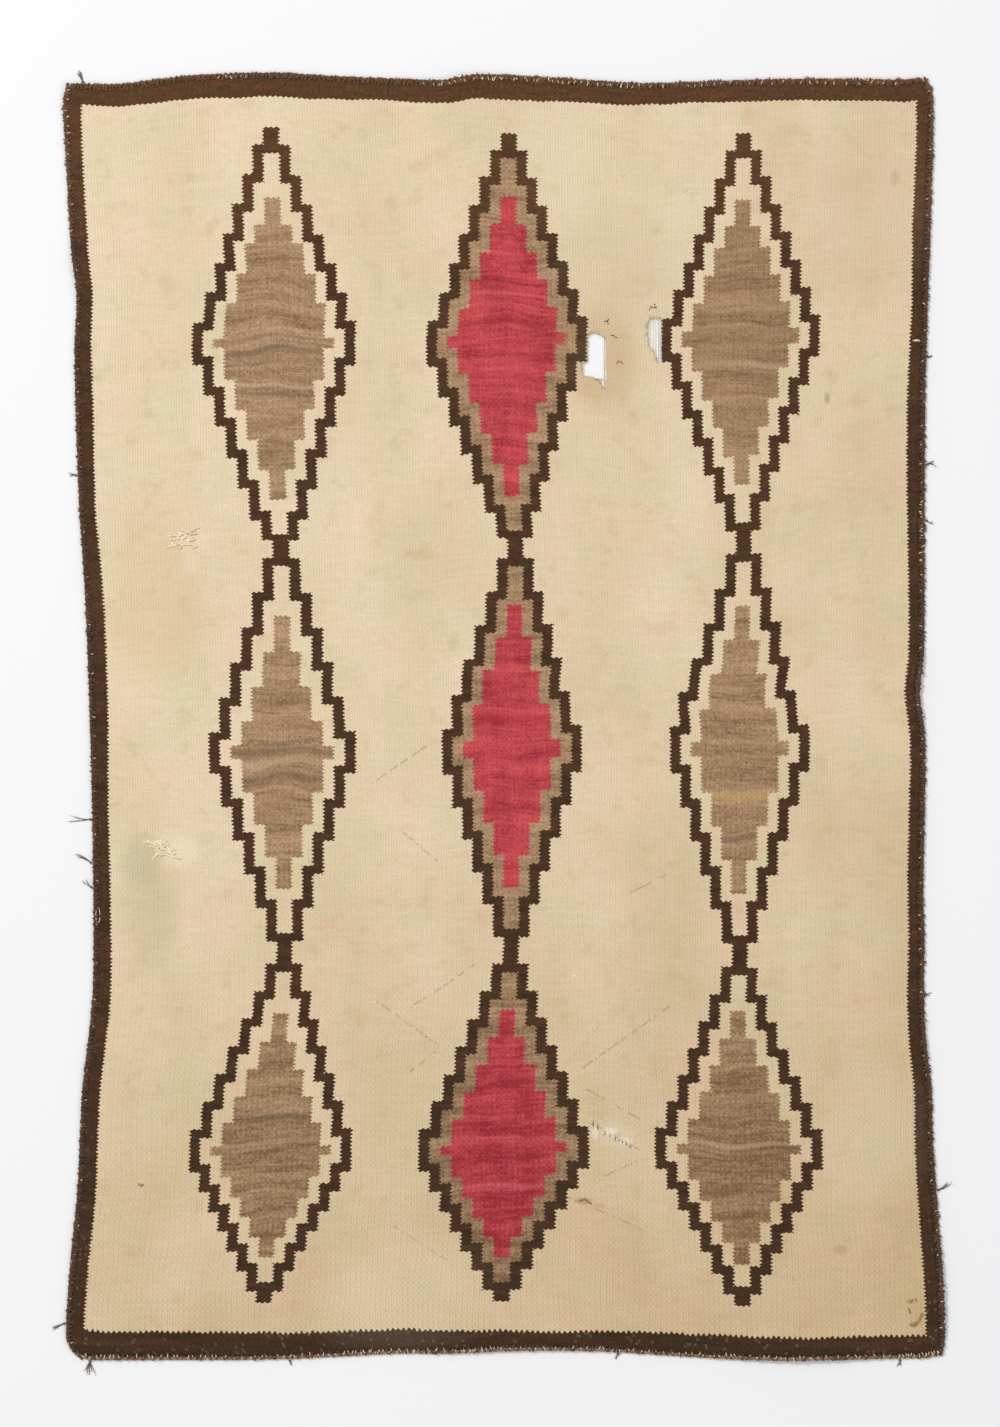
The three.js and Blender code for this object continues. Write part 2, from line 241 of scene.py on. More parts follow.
class RugSizes(bpy.types.PropertyGroup):
    """The sizes that a user would change."""

    thickness: length_setting("Web thickness", "Thickness of the woven web", 3.6)
    cord: length_setting("Cord diameter", "Diameter of the twisted edge cords", 5)
    cord_twist: length_setting("Cord twist", "Length of one full turn of an edge cord's plies", 17)
    warp: length_setting("Warp spacing", "Distance from one warp to the next", 3.75)
    pick: length_setting("Pick height", "Height of one visible pass of weft", 2.7)
    ply: length_setting("Loose ply", "Thickness of a loose ply", 1.5)
    darn: length_setting("Darning yarn", "Thickness of the darning yarn", 3)


class RugColours(bpy.types.PropertyGroup):
    """The dyes and natural wool colours."""

    cream: colour_setting("Cream", "Undyed white wool", "e8d5b7")
    aged_cream: colour_setting("Aged cream", "Undyed white wool, yellowed and soiled", "cfb58f")
    tan: colour_setting("Carded tan", "Carded brown and white wool", "c5a27e")
    dark_tan: colour_setting("Dark tan", "Carded wool with more brown", "785b3f")
    red: colour_setting("Red", "Aniline red wool", "e05a5f")
    dark_red: colour_setting("Dark red", "Aniline red wool, duller lots", "962632")
    brown: colour_setting("Brown", "Natural brown wool, sun-bleached", "583b24")
    faded_brown: colour_setting("Faded brown", "Natural brown wool, sun-bleached most", "7a5638")
    dark_brown: colour_setting("Dark brown", "Natural dark brown wool", "3d2919")
    worn_cord: colour_setting("Worn cord", "End cord with its colour rubbed off", "98826c")
    bare_yarn: colour_setting("Bare yarn", "Undyed warps and mending yarn", "f2e4c8")
    floor: colour_setting("Floor", "Pale studio floor", "f4f4f5")


class RugSettings(bpy.types.PropertyGroup):
    """All of the rug's settings."""

    sizes: bpy.props.PointerProperty(name="Sizes", description="Real sizes", type=RugSizes)
    colours: bpy.props.PointerProperty(name="Colours", description="Wool colours", type=RugColours)


def settings():
    return bpy.context.scene.rug_settings


def read(table, by, to, place):
    """A smooth reading of a table's column `to` at places on its column `by`, as the solids have it."""
    xs = np.asarray(table[by], float)
    ys = np.asarray(table[to], float)
    place = np.asarray(place, float)
    i = np.clip(np.searchsorted(xs, place, side="right") - 1, 0, len(xs) - 2)
    before = np.maximum(np.arange(len(xs)) - 1, 0)
    after = np.minimum(np.arange(len(xs)) + 1, len(xs) - 1)
    slope = (ys[after] - ys[before]) / (xs[after] - xs[before])
    span = xs[i + 1] - xs[i]
    t = np.clip((place - xs[i]) / span, 0, 1)
    turning = 3 * t**2 - 2 * t**3
    leaving = (t**3 - 2 * t**2 + t) * span * slope[i]
    arriving = (t**3 - t**2) * span * slope[i + 1]
    return ys[i] + (ys[i + 1] - ys[i]) * turning + leaving + arriving


def lift(x, y):
    """How far the cloth stands off the floor."""
    height = sum(
        s["rise"] * np.exp(-(((x - s["x"]) / s["wide"]) ** 2) - ((y - s["y"]) / s["long"]) ** 2)
        for s in SWELLS
    )
    return np.maximum(0, height - FLAT_BELOW)


EDGE_INSET = 5.3  # from a cord's outer edge to the web's edge


def edges_at(x, up):
    """The web's four edges: left and right at a height along the cloth, lower and upper at a place across."""
    left = EDGE_INSET - read(LEFT_SIDE, "up", "out", up * LENGTH)
    right = read(RIGHT_SIDE, "up", "out", up * LENGTH) - EDGE_INSET
    lower = EDGE_INSET - read(LOWER_END, "across", "out", x)
    upper = LENGTH + read(UPPER_END, "across", "out", x) - EDGE_INSET
    return left, right, lower, upper


def on_web(u, v):
    """Places on the web's underside: u runs across from the left edge, v up from the lower edge."""
    left, right, _, _ = edges_at(0, v)
    x = left + (right - left) * u
    _, _, lower, upper = edges_at(x, v)
    y = lower + (upper - lower) * v
    return x, y


def in_cloth(x, y):
    """The share of the cloth's width and length at a place: the other way round from on_web."""
    _, _, lower, upper = edges_at(x, 0)
    v = (y - lower) / (upper - lower)
    left, right, _, _ = edges_at(x, v)
    return (x - left) / (right - left), v


def frame_shift():
    """From the tables' origin to the frame's: the web's solid is laid out again and set on its box."""
    across, along = (np.linspace(0, 1, n + 1) for n in SOLID_CELLS)
    u, v = (t - SOLID_CROWDING * np.sin(2 * np.pi * t) / (2 * np.pi) for t in (across, along))
    x, y = on_web(*np.meshgrid(u, v))
    low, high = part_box("web")
    return (
        (low[0] + high[0]) / 2 / MM - (x.min() + x.max()) / 2,
        (low[1] + high[1]) / 2 / MM - (y.min() + y.max()) / 2,
    )


SHIFT = frame_shift()


def placed(points):
    """Points of the tables, in millimetres, as the frame's metres."""
    return [((x + SHIFT[0]) * MM, (y + SHIFT[1]) * MM, z * MM) for x, y, z in points]


def row_middles():
    """The height of each row's middle on the chart, from the lowest row up."""
    return [(sum(row["shoulder"]) + sum(row["hip"])) / 6 for row in reversed(ROWS)]


def chart_place(x, y):
    """Where a place on the cloth is in the weaver's own measure, and on the chart."""
    u, v = in_cloth(x, y)
    across, along = (u - 0.5) * WOVEN_WIDTH, v * LENGTH
    centres = [np.interp(along, CENTRES["up"], CENTRES[c]) for c in ("left", "middle", "right")]
    side = np.clip((across - centres[1]) / COLUMN_SPACING, -1, 1)

    def between_columns(left, middle, right):
        return np.where(side < 0, middle + (left - middle) * -side, middle + (right - middle) * side)

    keys, ideal = [], []
    for row in reversed(ROWS):
        even = {level: sum(row[level]) / 3 for level in ("last", "hip", "shoulder", "first")}
        even["sole"] = even["last"] + (even["hip"] - even["last"]) / (row["terraces"] - 1)
        for level in ("last", "sole", "hip", "shoulder", "first"):
            if level in row:
                keys.append(row[level])
                ideal.append(even[level])
    heights = []
    for column_keys in zip(*keys):
        height = np.interp(along, column_keys, ideal)
        height = np.where(along > column_keys[-1], along - column_keys[-1] + ideal[-1], height)
        heights.append(np.where(along < column_keys[0], along - column_keys[0] + ideal[0], height))
    level = between_columns(*heights)
    shift = between_columns(*[centre - n * COLUMN_SPACING for centre, n in zip(centres, (-1, 0, 1))])
    column = np.clip(np.rint((across - shift) / COLUMN_SPACING), -1, 1).astype(int)
    widths = [[w / (sum(row["half_width"]) / 3) for w in row["half_width"]] for row in reversed(ROWS)]
    wide = np.choose(column + 1, [np.interp(level, row_middles(), shares) for shares in zip(*widths)])
    chart_x = column * COLUMN_SPACING + (across - shift - column * COLUMN_SPACING) / wide
    return across, along, chart_x, level


def centre_starts(chart_x, chart_y):
    """How many bands deep the centre starts at a place on the chart, by column, row and half."""
    column = np.clip(np.rint(chart_x / COLUMN_SPACING), -1, 1).astype(int) + 1
    heights = [middle + step for middle in row_middles() for _, step in CENTRE_STEPS]
    depths = [row["centre_" + key] for row in reversed(ROWS) for key, _ in CENTRE_STEPS]
    return np.choose(column, [np.interp(chart_y, heights, in_column) for in_column in zip(*depths)])


def add_node(tree, kind, inputs=(), output=0, **details):
    """Adds a node, gives it its settings and inputs in order or by name, and returns one output. A kind
    of node that does sums has its operation after a space."""
    kind, _, operation = kind.partition(" ")
    node = tree.nodes.new(kind)
    if operation:
        node.operation = operation
    for name, value in details.items():
        setattr(node, name, value)
    for key, value in inputs.items() if isinstance(inputs, dict) else enumerate(inputs):
        if isinstance(value, bpy.types.NodeSocket):
            tree.links.new(value, node.inputs[key])
        elif value is not None:
            node.inputs[key].default_value = value
    return node.outputs[output] if len(node.outputs) else node


NUMBER = "NodeSocketFloat"
SHAPE = "NodeSocketGeometry"


def new_group(name, inputs, output, kind="ShaderNodeTree"):
    """An empty node group with named sockets: the group, its inputs by name, where its result goes, and
    the way to add a node to it."""
    tree = bpy.data.node_groups.new(name, kind)
    for title, socket in inputs.items():
        tree.interface.new_socket(title, in_out="INPUT", socket_type=socket)
    tree.interface.new_socket(output[0], in_out="OUTPUT", socket_type=output[1])
    given = tree.nodes.new("NodeGroupInput").outputs
    sockets = {title: given[title] for title in inputs}
    return tree, sockets, tree.nodes.new("NodeGroupOutput").inputs[0], partial(add_node, tree)


def terraced_diamond():
    """How many bands deep a place on the chart lies in a row's diamonds: 0 to 1 is the outline, 1 to 2
    the ring and over 2 the centre."""
    names = ["Aside", "Up", "Half width", "Terraces", "First", "Shoulder", "Hip", "Last"]
    tree, given, result, add = new_group("Terraced diamond", dict.fromkeys(names, NUMBER), ("Depth", NUMBER))
    step = add(OVER, (add(MINUS, (given["Half width"], NECK_HALF_WIDTH)), given["Terraces"]))
    steps_out = add(OVER, (add(MINUS, (given["Aside"], NECK_HALF_WIDTH)), step))
    terrace = add(GREATEST, (add(NEXT_WHOLE, (steps_out,)), 0.0))
    inward = add(MINUS, (given["Terraces"], terrace))
    risers = add(MINUS, (given["Terraces"], 1.0))
    depths = []
    for far, near, sign in (("First", "Shoulder", -1.0), ("Last", "Hip", 1.0)):
        riser = add(OVER, (add(MINUS, (given[far], given[near])), risers))
        ledge = add(TIMES_PLUS, (inward, riser, given[near]))
        inside = add(TIMES, (add(MINUS, (given["Up"], ledge)), sign))
        band = add(PLUS, (add(SIZE, (riser,)), float(BAND_OVERLAP)))
        depths.append(add(OVER, (inside, band)))
    depth = add(LEAST, tuple(depths))
    allowed = add(PLUS, (inward, 0.5))
    tree.links.new(add(LEAST, (depth, allowed)), result)
    return tree


def soft_spot():
    """A soft-edged oval: 1 at its middle, 0 outside it."""
    names = ["Across", "Along", "X", "Y", "Wide", "Long"]
    tree, given, result, add = new_group("Soft spot", dict.fromkeys(names, NUMBER), ("Amount", NUMBER))
    squares = []
    for place, middle, half in (("Across", "X", "Wide"), ("Along", "Y", "Long")):
        share = add(OVER, (add(MINUS, (given[place], given[middle])), given[half]))
        squares.append(add(TIMES, (share, share)))
    radius = add(PLUS, tuple(squares))
    amount = add(RANGE, (radius, 1.0, 0.0, 0.0, 1.0), interpolation_type="SMOOTHSTEP")
    tree.links.new(amount, result)
    return tree


def fine_line():
    """A thin straight line between two points: 1 on it, 0 beside it."""
    names = ["Across", "Along", "X1", "Y1", "X2", "Y2"]
    tree, given, result, add = new_group("Fine line", dict.fromkeys(names, NUMBER), ("Amount", NUMBER))
    here, start, end = (add(JOIN, (given[x], given[y])) for x, y in (names[:2], names[2:4], names[4:]))
    run = add(VECTOR, (end, start), operation="SUBTRACT")
    off = add(VECTOR, (here, start), operation="SUBTRACT")
    along = add(VECTOR, (off, run), 1, operation="DOT_PRODUCT")
    whole = add(VECTOR, (run, run), 1, operation="DOT_PRODUCT")
    share = add(OVER, (along, whole), use_clamp=True)
    reached = add(VECTOR, {0: run, "Scale": share}, operation="SCALE")
    miss = add(VECTOR, (off, reached), operation="SUBTRACT")
    distance = add(VECTOR, (miss,), 1, operation="LENGTH")
    tree.links.new(add(RANGE, (distance, 0.9, 2.0, 1.0, 0.0)), result)
    return tree


# Soiling and wear, in cloth millimetres: what shows there, and how strongly
STAINS = table("x y wide long code share", [
    (567, 77, 8, 5, "8a6a34", 0.6),
    (572, 45, 9, 5, "8a6228", 0.6),
    (578, 62, 16, 30, "c99f78", 0.4),
    (110, 212, 16, 7, "8f6e46", 0.5),
    (132, 206, 14, 5, "b0905f", 0.4),
    (473, 1373, 5, 11, "96754e", 0.6),
    (-523, 246, 4, 3, "4f3d22", 0.8),
    (562, 1690, 9, 16, "b3946a", 0.5),
    (-532, 640, 62, 110, "b3ae84", 0.3),
    (-545, 712, 40, 50, "9a9878", 0.28),
    (-520, 1085, 90, 160, "d3b878", 0.4),
    (164, 1570, 100, 110, "bfb492", 0.25),
    (150, 1690, 130, 130, "e4deb8", 0.3),
    (530, 320, 100, 130, "ecdcc0", 0.3),
    (520, 1640, 120, 160, "dcb99f", 0.4),
    (158, 310, 34, 24, "e9dcc2", 0.4),
    (473, 153, 14, 8, "9a9070", 0.35),
    (-457, 1134, 16, 20, "f0e2c6", 0.4),
    (-457, 1165, 34, 24, "f0e0c0", 0.5),
    (-486, 722, 36, 27, "f2e4c6", 0.65),
    (140, 1430, 70, 90, "c2a06c", 0.5),
    (149, 313, 15, 8, "f7efdf", 0.75),
    (170, 301, 15, 7, "f7efdf", 0.75),
    (128, 311, 6, 15, "f7efdf", 0.6),
    (-150, 80, 150, 110, "f0dfc0", 0.4),
])
# Diagonal joins where the weaver worked one part of the width before the next
LAZY_LINES = [
    (-156, 746, -100, 701), (-192, 502, -96, 437), (-144, 494, -50, 553), (-96, 437, -139, 402),
    (182, 661, 234, 688), (111, 404, 238, 498), (110, 376, 192, 334), (119, 326, 191, 290),
    (191, 275, 141, 249), (-200, 817, -115, 874), (83, 218, 190, 176), (-171, 186, -85, 131),
]
# The brown arcs of a stain near the lower right corner, and a scuff above the lower border, piece by piece
SCUFFS = [
    (568, 76, 571, 79), (575, 80, 577, 77), (565, 66, 567, 60),
    (567, 43, 572, 41), (572, 43, 578, 49), (574, 42, 580, 49), (578, 49, 583, 59), (580, 49, 585, 58),
    (104, 212, 112, 214), (112, 214, 120, 208),
]

# Single lots of yarn that show as bands across a centre, in cloth millimetres
YARN_LOTS = table("x y wide long code share", [
    (-332, 858, 150, 9, "64503f", 0.5),
    (-332, 844, 150, 6, "c4ab88", 0.4),
    (-332, 822, 150, 14, "6d5845", 0.3),
    (342, 802, 150, 10, "bf9c60", 0.65),
    (342, 742, 150, 6, "5f493a", 0.5),
    (-327, 1432, 150, 7, "6a5444", 0.55),
    (-327, 1452, 150, 4, "6a5444", 0.4),
    (-327, 1384, 150, 4, "c8ae8e", 0.55),
    (-327, 1372, 150, 4, "6a5444", 0.4),
    (346, 1424, 150, 7, "c8ab8b", 0.5),
    (346, 1450, 260, 320, "785b3f", 0.22),
    (-339, 307, 150, 5, "b89c7c", 0.4),
    (-339, 340, 150, 6, "57443a", 0.35),
    (335, 304, 150, 5, "b89c7c", 0.5),
    (8, 1475, 150, 5, "8e2430", 0.5),
    (8, 1515, 150, 4, "e87a80", 0.22),
    (8, 1533, 150, 3, "8e2430", 0.4),
    (6, 905, 150, 9, "a82634", 0.4),
    (-5, 232, 90, 9, "e8828a", 0.16),
    (-5, 300, 150, 5, "e87a80", 0.12),
])


def bare_material(name):
    """An empty material, and the way to add a node to it."""
    material = bpy.data.materials.new(name)
    material.use_nodes = True
    material.node_tree.nodes.clear()
    return material, partial(add_node, material.node_tree)


def wool_surface(add, colour, normal, roughness, sheen, sheen_roughness):
    """The surface of wool: matt, with the faint sheen of its loose fibres."""
    values = {
        "Base Color": colour, "Roughness": roughness, "IOR": 1.5, "Normal": normal, "Sheen Weight": sheen,
        "Sheen Roughness": sheen_roughness, "Specular IOR Level": 0.2,
    }
    add("ShaderNodeOutputMaterial", (add("ShaderNodeBsdfPrincipled", values),))


def tapestry_wool():
    """Handspun wool, woven weft-faced as tapestry: matt and dry, with a rib over each warp, a small
    tooth at every change of colour, streaks where the spinning and dye vary, and soiling."""
    wool, sizes = settings().colours, settings().sizes
    warp, pick = sizes.warp / MM, sizes.pick / MM
    material, add = bare_material("Handspun wool, tapestry woven")
    cloth, chart = (add(ATTRIBUTE, output=1, attribute_name=name) for name in ("cloth", "chart"))
    across, along, _ = add(SPLIT, (cloth,)).node.outputs
    chart_x, chart_y, _ = add(SPLIT, (chart,)).node.outputs
    spot, line = soft_spot(), fine_line()

    def layered(colour, *layers, blend="MIX"):
        """Lays colours over a colour one by one, each as strongly as its factor says."""
        for factor, layer in layers:
            colour = add(MIX, {0: factor, 6: colour, 7: layer}, 2, data_type="RGBA", blend_type=blend)
        return colour

    def greatest(values):
        return reduce(lambda a, b: add(GREATEST, (a, b)), values)

    def stretched(up, across_scale, up_scale):
        """A place on the cloth, with its two measures scaled each on its own."""
        return add(JOIN, (add(TIMES, (across, across_scale)), add(TIMES, (up, up_scale))))

    def waved(value, half, scale):
        """A wave that climbs over one half of its length and falls over the other."""
        return add(TIMES, (add(FOLD, (value, half)), scale))

    def drawn(lines):
        """Thin lines on the cloth: 1 on any of them, 0 beside them."""
        return greatest(add(GROUP, (across, along, *map(float, ends)), node_tree=line) for ends in lines)

    def spot_of(row, up):
        """The soft oval that a row of a table gives."""
        oval = [float(row[key]) for key in ("x", "y", "wide", "long")]
        return add(GROUP, (across, up, *oval), node_tree=spot)

    # Noises over the cloth: scale, detail and roughness
    ragged, sway, bent, grain, cloudy, blotch, smudge, crowd = (
        add(NOISE, {"Vector": cloth, "Scale": scale, "Detail": detail, "Roughness": roughness})
        for scale, detail, roughness in (
            (0.16, 1.0, 0.5), (0.02, 2.0, 0.5), (0.011, 1.0, 0.5), (0.5, 2.0, 0.7),
            (0.006, 3.0, 0.5), (0.009, 4.0, 0.65), (0.03, 3.0, 0.6), (0.009, 1.0, 0.5),
        )
    )

    # Each colour change runs pick by pick round a warp, so its edge is toothed
    teeth = []
    for place, size, depth, stray in ((along, pick, 3.2, 4.0), (across, warp, 1.8, 2.2)):
        tooth = add(FOLD, (place, size))
        rounded = add(RANGE, (tooth, 0.0, size, -depth / 2, depth / 2), interpolation_type="SMOOTHSTEP")
        teeth.append(add(PLUS, (rounded, add(TIMES_PLUS, (ragged, stray, -stray / 2)))))
    up_teeth = add(PLUS, (teeth[1], add(TIMES_PLUS, (sway, 6.0, -3.0))))
    up = add(PLUS, (chart_y, up_teeth))
    aside = add(FOLD, (add(PLUS, (chart_x, teeth[0])), COLUMN_SPACING / 2))
    from_middle = add(SIZE, (chart_x,))

    # How many bands deep a place lies in the diamonds, within the pattern's own limits
    diamond = terraced_diamond()
    depths = []
    for row in ROWS:
        half, *levels = (sum(row[key]) / 3 for key in ("half_width", "first", "shoulder", "hip", "last"))
        depths.append(add(GROUP, (aside, up, half, float(row["terraces"]), *levels), node_tree=diamond))
    depth = greatest(depths)
    for kind, place, limit in (
        (BELOW, up, float(TIPS["upper"])),
        (ABOVE, up, float(TIPS["lower"])),
        (BELOW, from_middle, COLUMNS_REACH * COLUMN_SPACING),
    ):
        depth = add(TIMES, (depth, add(kind, (place, limit))))
    centre_start = add(ATTRIBUTE, output=2, attribute_name="centre_start")
    is_outline, is_ring, is_centre = (add(ABOVE, (depth, start)) for start in (0.0, 1.0, centre_start))
    in_middle = add(BELOW, (from_middle, COLUMN_SPACING / 2))

    # The border: its inner edge lies on a warp at each side and follows a pick at each end
    off_middle = add(SIZE, (add(PLUS, (across, teeth[0])),))
    end_height = add(PLUS, (along, up_teeth))
    edges = {
        "side_border": add(TIMES_PLUS, (off_middle, -1.0, WOVEN_WIDTH / 2)),
        "upper_border": add(TIMES_PLUS, (end_height, -1.0, float(LENGTH))),
        "lower_border": add(PLUS, (teeth[1], end_height)),
    }
    is_border = greatest(
        add(BELOW, (off, add(ATTRIBUTE, output=2, attribute_name=name))) for name, off in edges.items()
    )

    # The spinning and dye vary from pick to pick and from one batch of yarn to the next
    curved = add(TIMES_PLUS, (bent, 28.0, along))
    curved_up = add(MINUS, (curved, 14.0))
    wide = stretched(curved, 0.004, 0.05)
    streak, picks, batch, hue, fold, crimson = (
        add(NOISE, {"Vector": place, "Scale": scale, "Detail": detail, "Roughness": roughness})
        for place, scale, detail, roughness in (
            (stretched(curved, 0.011, 0.2), 1.0, 2.0, 0.6),
            (stretched(curved, 0.05, 0.42), 1.0, 1.0, 0.5),
            (wide, 1.0, 2.0, 0.5),
            (wide, 2.2, 2.0, 0.5),
            (stretched(along, 0.009, 0.0022), 1.0, 2.0, 0.5),
            (stretched(along, 0.024, 0.011), 1.0, 2.0, 0.5),
        )
    )

    # Each bead of weft between two warps takes its own shade of the carded wool
    bead_place = add(JOIN, (add(OVER, (across, warp)), add(OVER, (along, pick * 1.4))))
    bead_place = add(VECTOR, (bead_place,), operation="FLOOR")
    speck = add("ShaderNodeTexWhiteNoise", {"Vector": bead_place}, noise_dimensions="2D")
    blended = add(TIMES, (grain, 0.4))
    for variation, share in ((streak, 0.3), (picks, 0.2), (speck, 0.1)):
        blended = add(TIMES_PLUS, (variation, share, blended))
    heather = add(RANGE, (blended, 0.38, 0.62, 0.0, 1.0))
    lots = add(RANGE, (batch, 0.35, 0.65, 0.0, 1.0))

    # The white wool yellows and takes up soil towards the foot and the right
    soil = add(RANGE, (along, 900.0, 0.0, 0.0, 0.66))
    rightward = add(RANGE, (across, -600.0, 600.0, -0.05, 0.3))
    aged = add(TIMES_PLUS, (cloudy, 0.9, add(PLUS, (soil, rightward))))
    aged = add(MINUS, (aged, 0.4), use_clamp=True)
    cream_shade = add(RANGE, (blended, 0.3, 0.7, 0.88, 1.08))
    greenish = add(RANGE, (blotch, 0.4, 0.6, 0.0, 1.0))
    tone = layered((1.03, 0.985, 0.985, 1.0), (greenish, (0.965, 1.008, 0.96, 1.0)))
    cream = layered(wool.cream, (aged, wool.aged_cream))
    cream = layered(cream, (1.0, cream_shade), (1.0, tone), blend="MULTIPLY")
    smudged = add(RANGE, (smudge, 0.55, 0.75, 0.0, 0.3))
    yellowed = add(RANGE, (fold, 0.4, 0.62, 0.0, 1.0))
    creased = layered((1.03, 1.025, 1.04, 1.0), (yellowed, (0.98, 0.975, 0.94, 1.0)))
    cream = layered(cream, (smudged, linear("c2a172")))
    cream = layered(cream, (1.0, creased), blend="MULTIPLY")

    # The carded tan is browner at the foot, the red uneven in its dye, the brown bleached at the top
    browner = add(RANGE, (along, 700.0, 100.0, 0.0, 0.85))
    tan_lots = add(TIMES, (add(MINUS, (lots, browner)), 0.35))
    shade = add(TIMES_PLUS, (heather, 0.65, tan_lots), use_clamp=True)
    tan = layered(wool.dark_tan, (shade, wool.tan))
    red_shade = add(TIMES_PLUS, (shade, 0.9, add(RANGE, (crimson, 0.36, 0.64, -0.14, 0.1))))
    red = layered(wool.dark_red, (red_shade, wool.red))
    faded = add(RANGE, (along, 1826.0, 0.0, 0.35, -0.08))
    faded = add(PLUS, (faded, add(RANGE, (along, 1590.0, 1630.0, 0.0, 0.5))))
    faded = add(TIMES_PLUS, (lots, 0.4, faded), use_clamp=True)
    brown_shade = add(RANGE, (blended, 0.35, 0.65, 0.6, 1.4))
    reddened = add(RANGE, (hue, 0.42, 0.6, 0.0, 1.0))
    tinted = layered((0.94, 1.04, 0.9, 1.0), (reddened, (1.1, 0.96, 1.0, 1.0)))
    brown = layered(wool.dark_brown, (faded, wool.brown))
    brown = layered(brown, (1.0, brown_shade), (1.0, tinted), blend="MULTIPLY")
    ring = layered(cream, (in_middle, tan))
    centre = layered(tan, (in_middle, red))
    for lot in YARN_LOTS:
        amount = add(TIMES, (spot_of(lot, curved_up), lot["share"]))
        centre = layered(centre, (amount, linear(lot["code"])))
    # Here and there a bead of the border has worn down to the pale warp
    rubbed = add(TIMES, (add(ABOVE, (speck, 0.96)), add(RANGE, (along, 400.0, 0.0, 0.03, 0.1))))
    border = layered(brown, (rubbed, linear("c9b294")))
    colour = layered(cream, (is_outline, brown), (is_ring, ring), (is_centre, centre), (is_border, border))

    # Lazy lines, darkened with painted shade of the small gaps along their joins, then scuffs and stains.
    # The brown wool hardly takes up a stain.
    lazy = add(TIMES, (drawn(LAZY_LINES), add(ABOVE, (ragged, 0.48))))
    colour = layered(
        colour,
        # Painted shade in the gaps of the lazy lines
        (add(TIMES, (lazy, 0.32)), linear("7a6148")),
        (add(TIMES, (drawn(SCUFFS), 0.75)), linear("74501f")),
    )
    brown_here = add(GREATEST, (add(MINUS, (is_outline, is_ring)), is_border))
    takes_soil = add(TIMES_PLUS, (brown_here, -0.85, 1.0))
    for stain in STAINS:
        patchy = add(RANGE, (grain, 0.35, 0.6, 0.5 * stain["share"], stain["share"]))
        amount = add(TIMES, (spot_of(stain, along), takes_soil))
        colour = layered(colour, (add(TIMES, (amount, patchy)), linear(stain["code"])))

    # A rib over each warp, and on it a bead for each pick, set half a pick lower on every other warp
    wandered = add(TIMES_PLUS, (crowd, 16.0, across))
    relief = rib = waved(wandered, warp / 2, 2 / warp)
    every_other = add(ABOVE, (add(FOLD, (wandered, warp)), warp / 2))
    bead = waved(add(TIMES_PLUS, (every_other, pick / 2, along)), pick / 2, 2 / pick)
    for part, share in ((bead, 0.35), (streak, 1.2), (lazy, -0.8)):
        relief = add(TIMES_PLUS, (part, share, relief))
    normal = add("ShaderNodeBump", {"Strength": 0.5, "Distance": 0.5 * MM, "Height": relief})
    # Painted shade: the colour is darkened in the furrows between the ribs
    furrow_shade = add(RANGE, (rib, 0.0, 1.0, 0.88, 1.04))

    # A rib and a pick are finer than a pixel of the whole view, so pairs of warps and groups of three picks
    # get painted shade too: more in the coloured wool, where the furrows look darker, and more towards the
    # foot
    paired = waved(wandered, warp, 1 / warp)
    grouped = waved(add(TIMES_PLUS, (every_other, pick * 1.5, along)), pick * 1.5, 0.6 / pick)
    mesh_height = add(TIMES_PLUS, (paired, 0.7, grouped))
    coloured = greatest((is_centre, is_border, add(TIMES, (is_ring, in_middle))))
    # Painted shade of the weave: stronger towards the foot
    shade_towards_foot = add(RANGE, (along, 900.0, 60.0, 0.05, 0.13))
    strength = add(TIMES_PLUS, (coloured, 0.13, shade_towards_foot))
    mesh_shade = add(TIMES_PLUS, (add(MINUS, (mesh_height, 0.75)), strength, 1.0))
    colour = layered(colour, (1.0, add(TIMES, (furrow_shade, mesh_shade))), blend="MULTIPLY")
    wool_surface(add, colour, normal, 0.92, 0.05, 0.6)
    return material


def spun_wool(name, light, dark, bleached=False):
    """Spun wool yarn: matt, with fibres that lie along the twist and lighter and darker lengths. The
    upper part of a bleached yarn has had more light, so its colour is paler."""
    material, add = bare_material(name)
    place = add("ShaderNodeTexCoord", output=3)
    lengths = add(NOISE, {"Vector": place, "Scale": 60.0, "Detail": 2.0})
    fibres = add(NOISE, {"Vector": place, "Scale": 700.0, "Detail": 2.0, "Roughness": 0.7})
    blend = add(TIMES_PLUS, (lengths, 0.6, add(TIMES, (fibres, 0.4))))
    shade = add(RANGE, (blend, 0.35, 0.65, 0.0, 1.0))
    if bleached:
        paler = add(RANGE, (add(SPLIT, (place,), 1), 0.68, 0.74, 0.15, 0.45))
        shade = add(TIMES_PLUS, (shade, 0.5, paler), use_clamp=True)
    colour = add(MIX, {0: shade, 6: dark, 7: light}, 2, data_type="RGBA")
    normal = add("ShaderNodeBump", {"Strength": 0.5, "Distance": 0.25 * MM, "Height": fibres})
    wool_surface(add, colour, normal, 0.9, 0.2, 0.5)
    return material


def made_piece(name, mesh, slot, replaced=()):
    """A finished piece: its object at the origin, riding on the rug and standing for its solids."""
    piece = bpy.data.objects.new(name, mesh)
    bpy.context.scene.collection.objects.link(piece)
    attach(piece, BODY)
    if replaced:
        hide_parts(*replaced)
    return piece


# The web's mesh, and how its surface strays from true
WEB_CELLS = (150, 222)
PUCKER = 0.35
ROUNDED_RIM = 3


def pucker(x, y):
    """The slight cockle of a hand-woven surface, as a few crossed waves."""
    wave = np.sin(x / 23 + 1.3 * np.sin(y / 61)) * np.sin(y / 31 + 0.8 * np.sin(x / 47))
    ripple = np.sin(x / 71 + y / 53) + np.sin(y / 17 + x / 190)
    return PUCKER * (0.6 * wave + 0.4 * ripple)


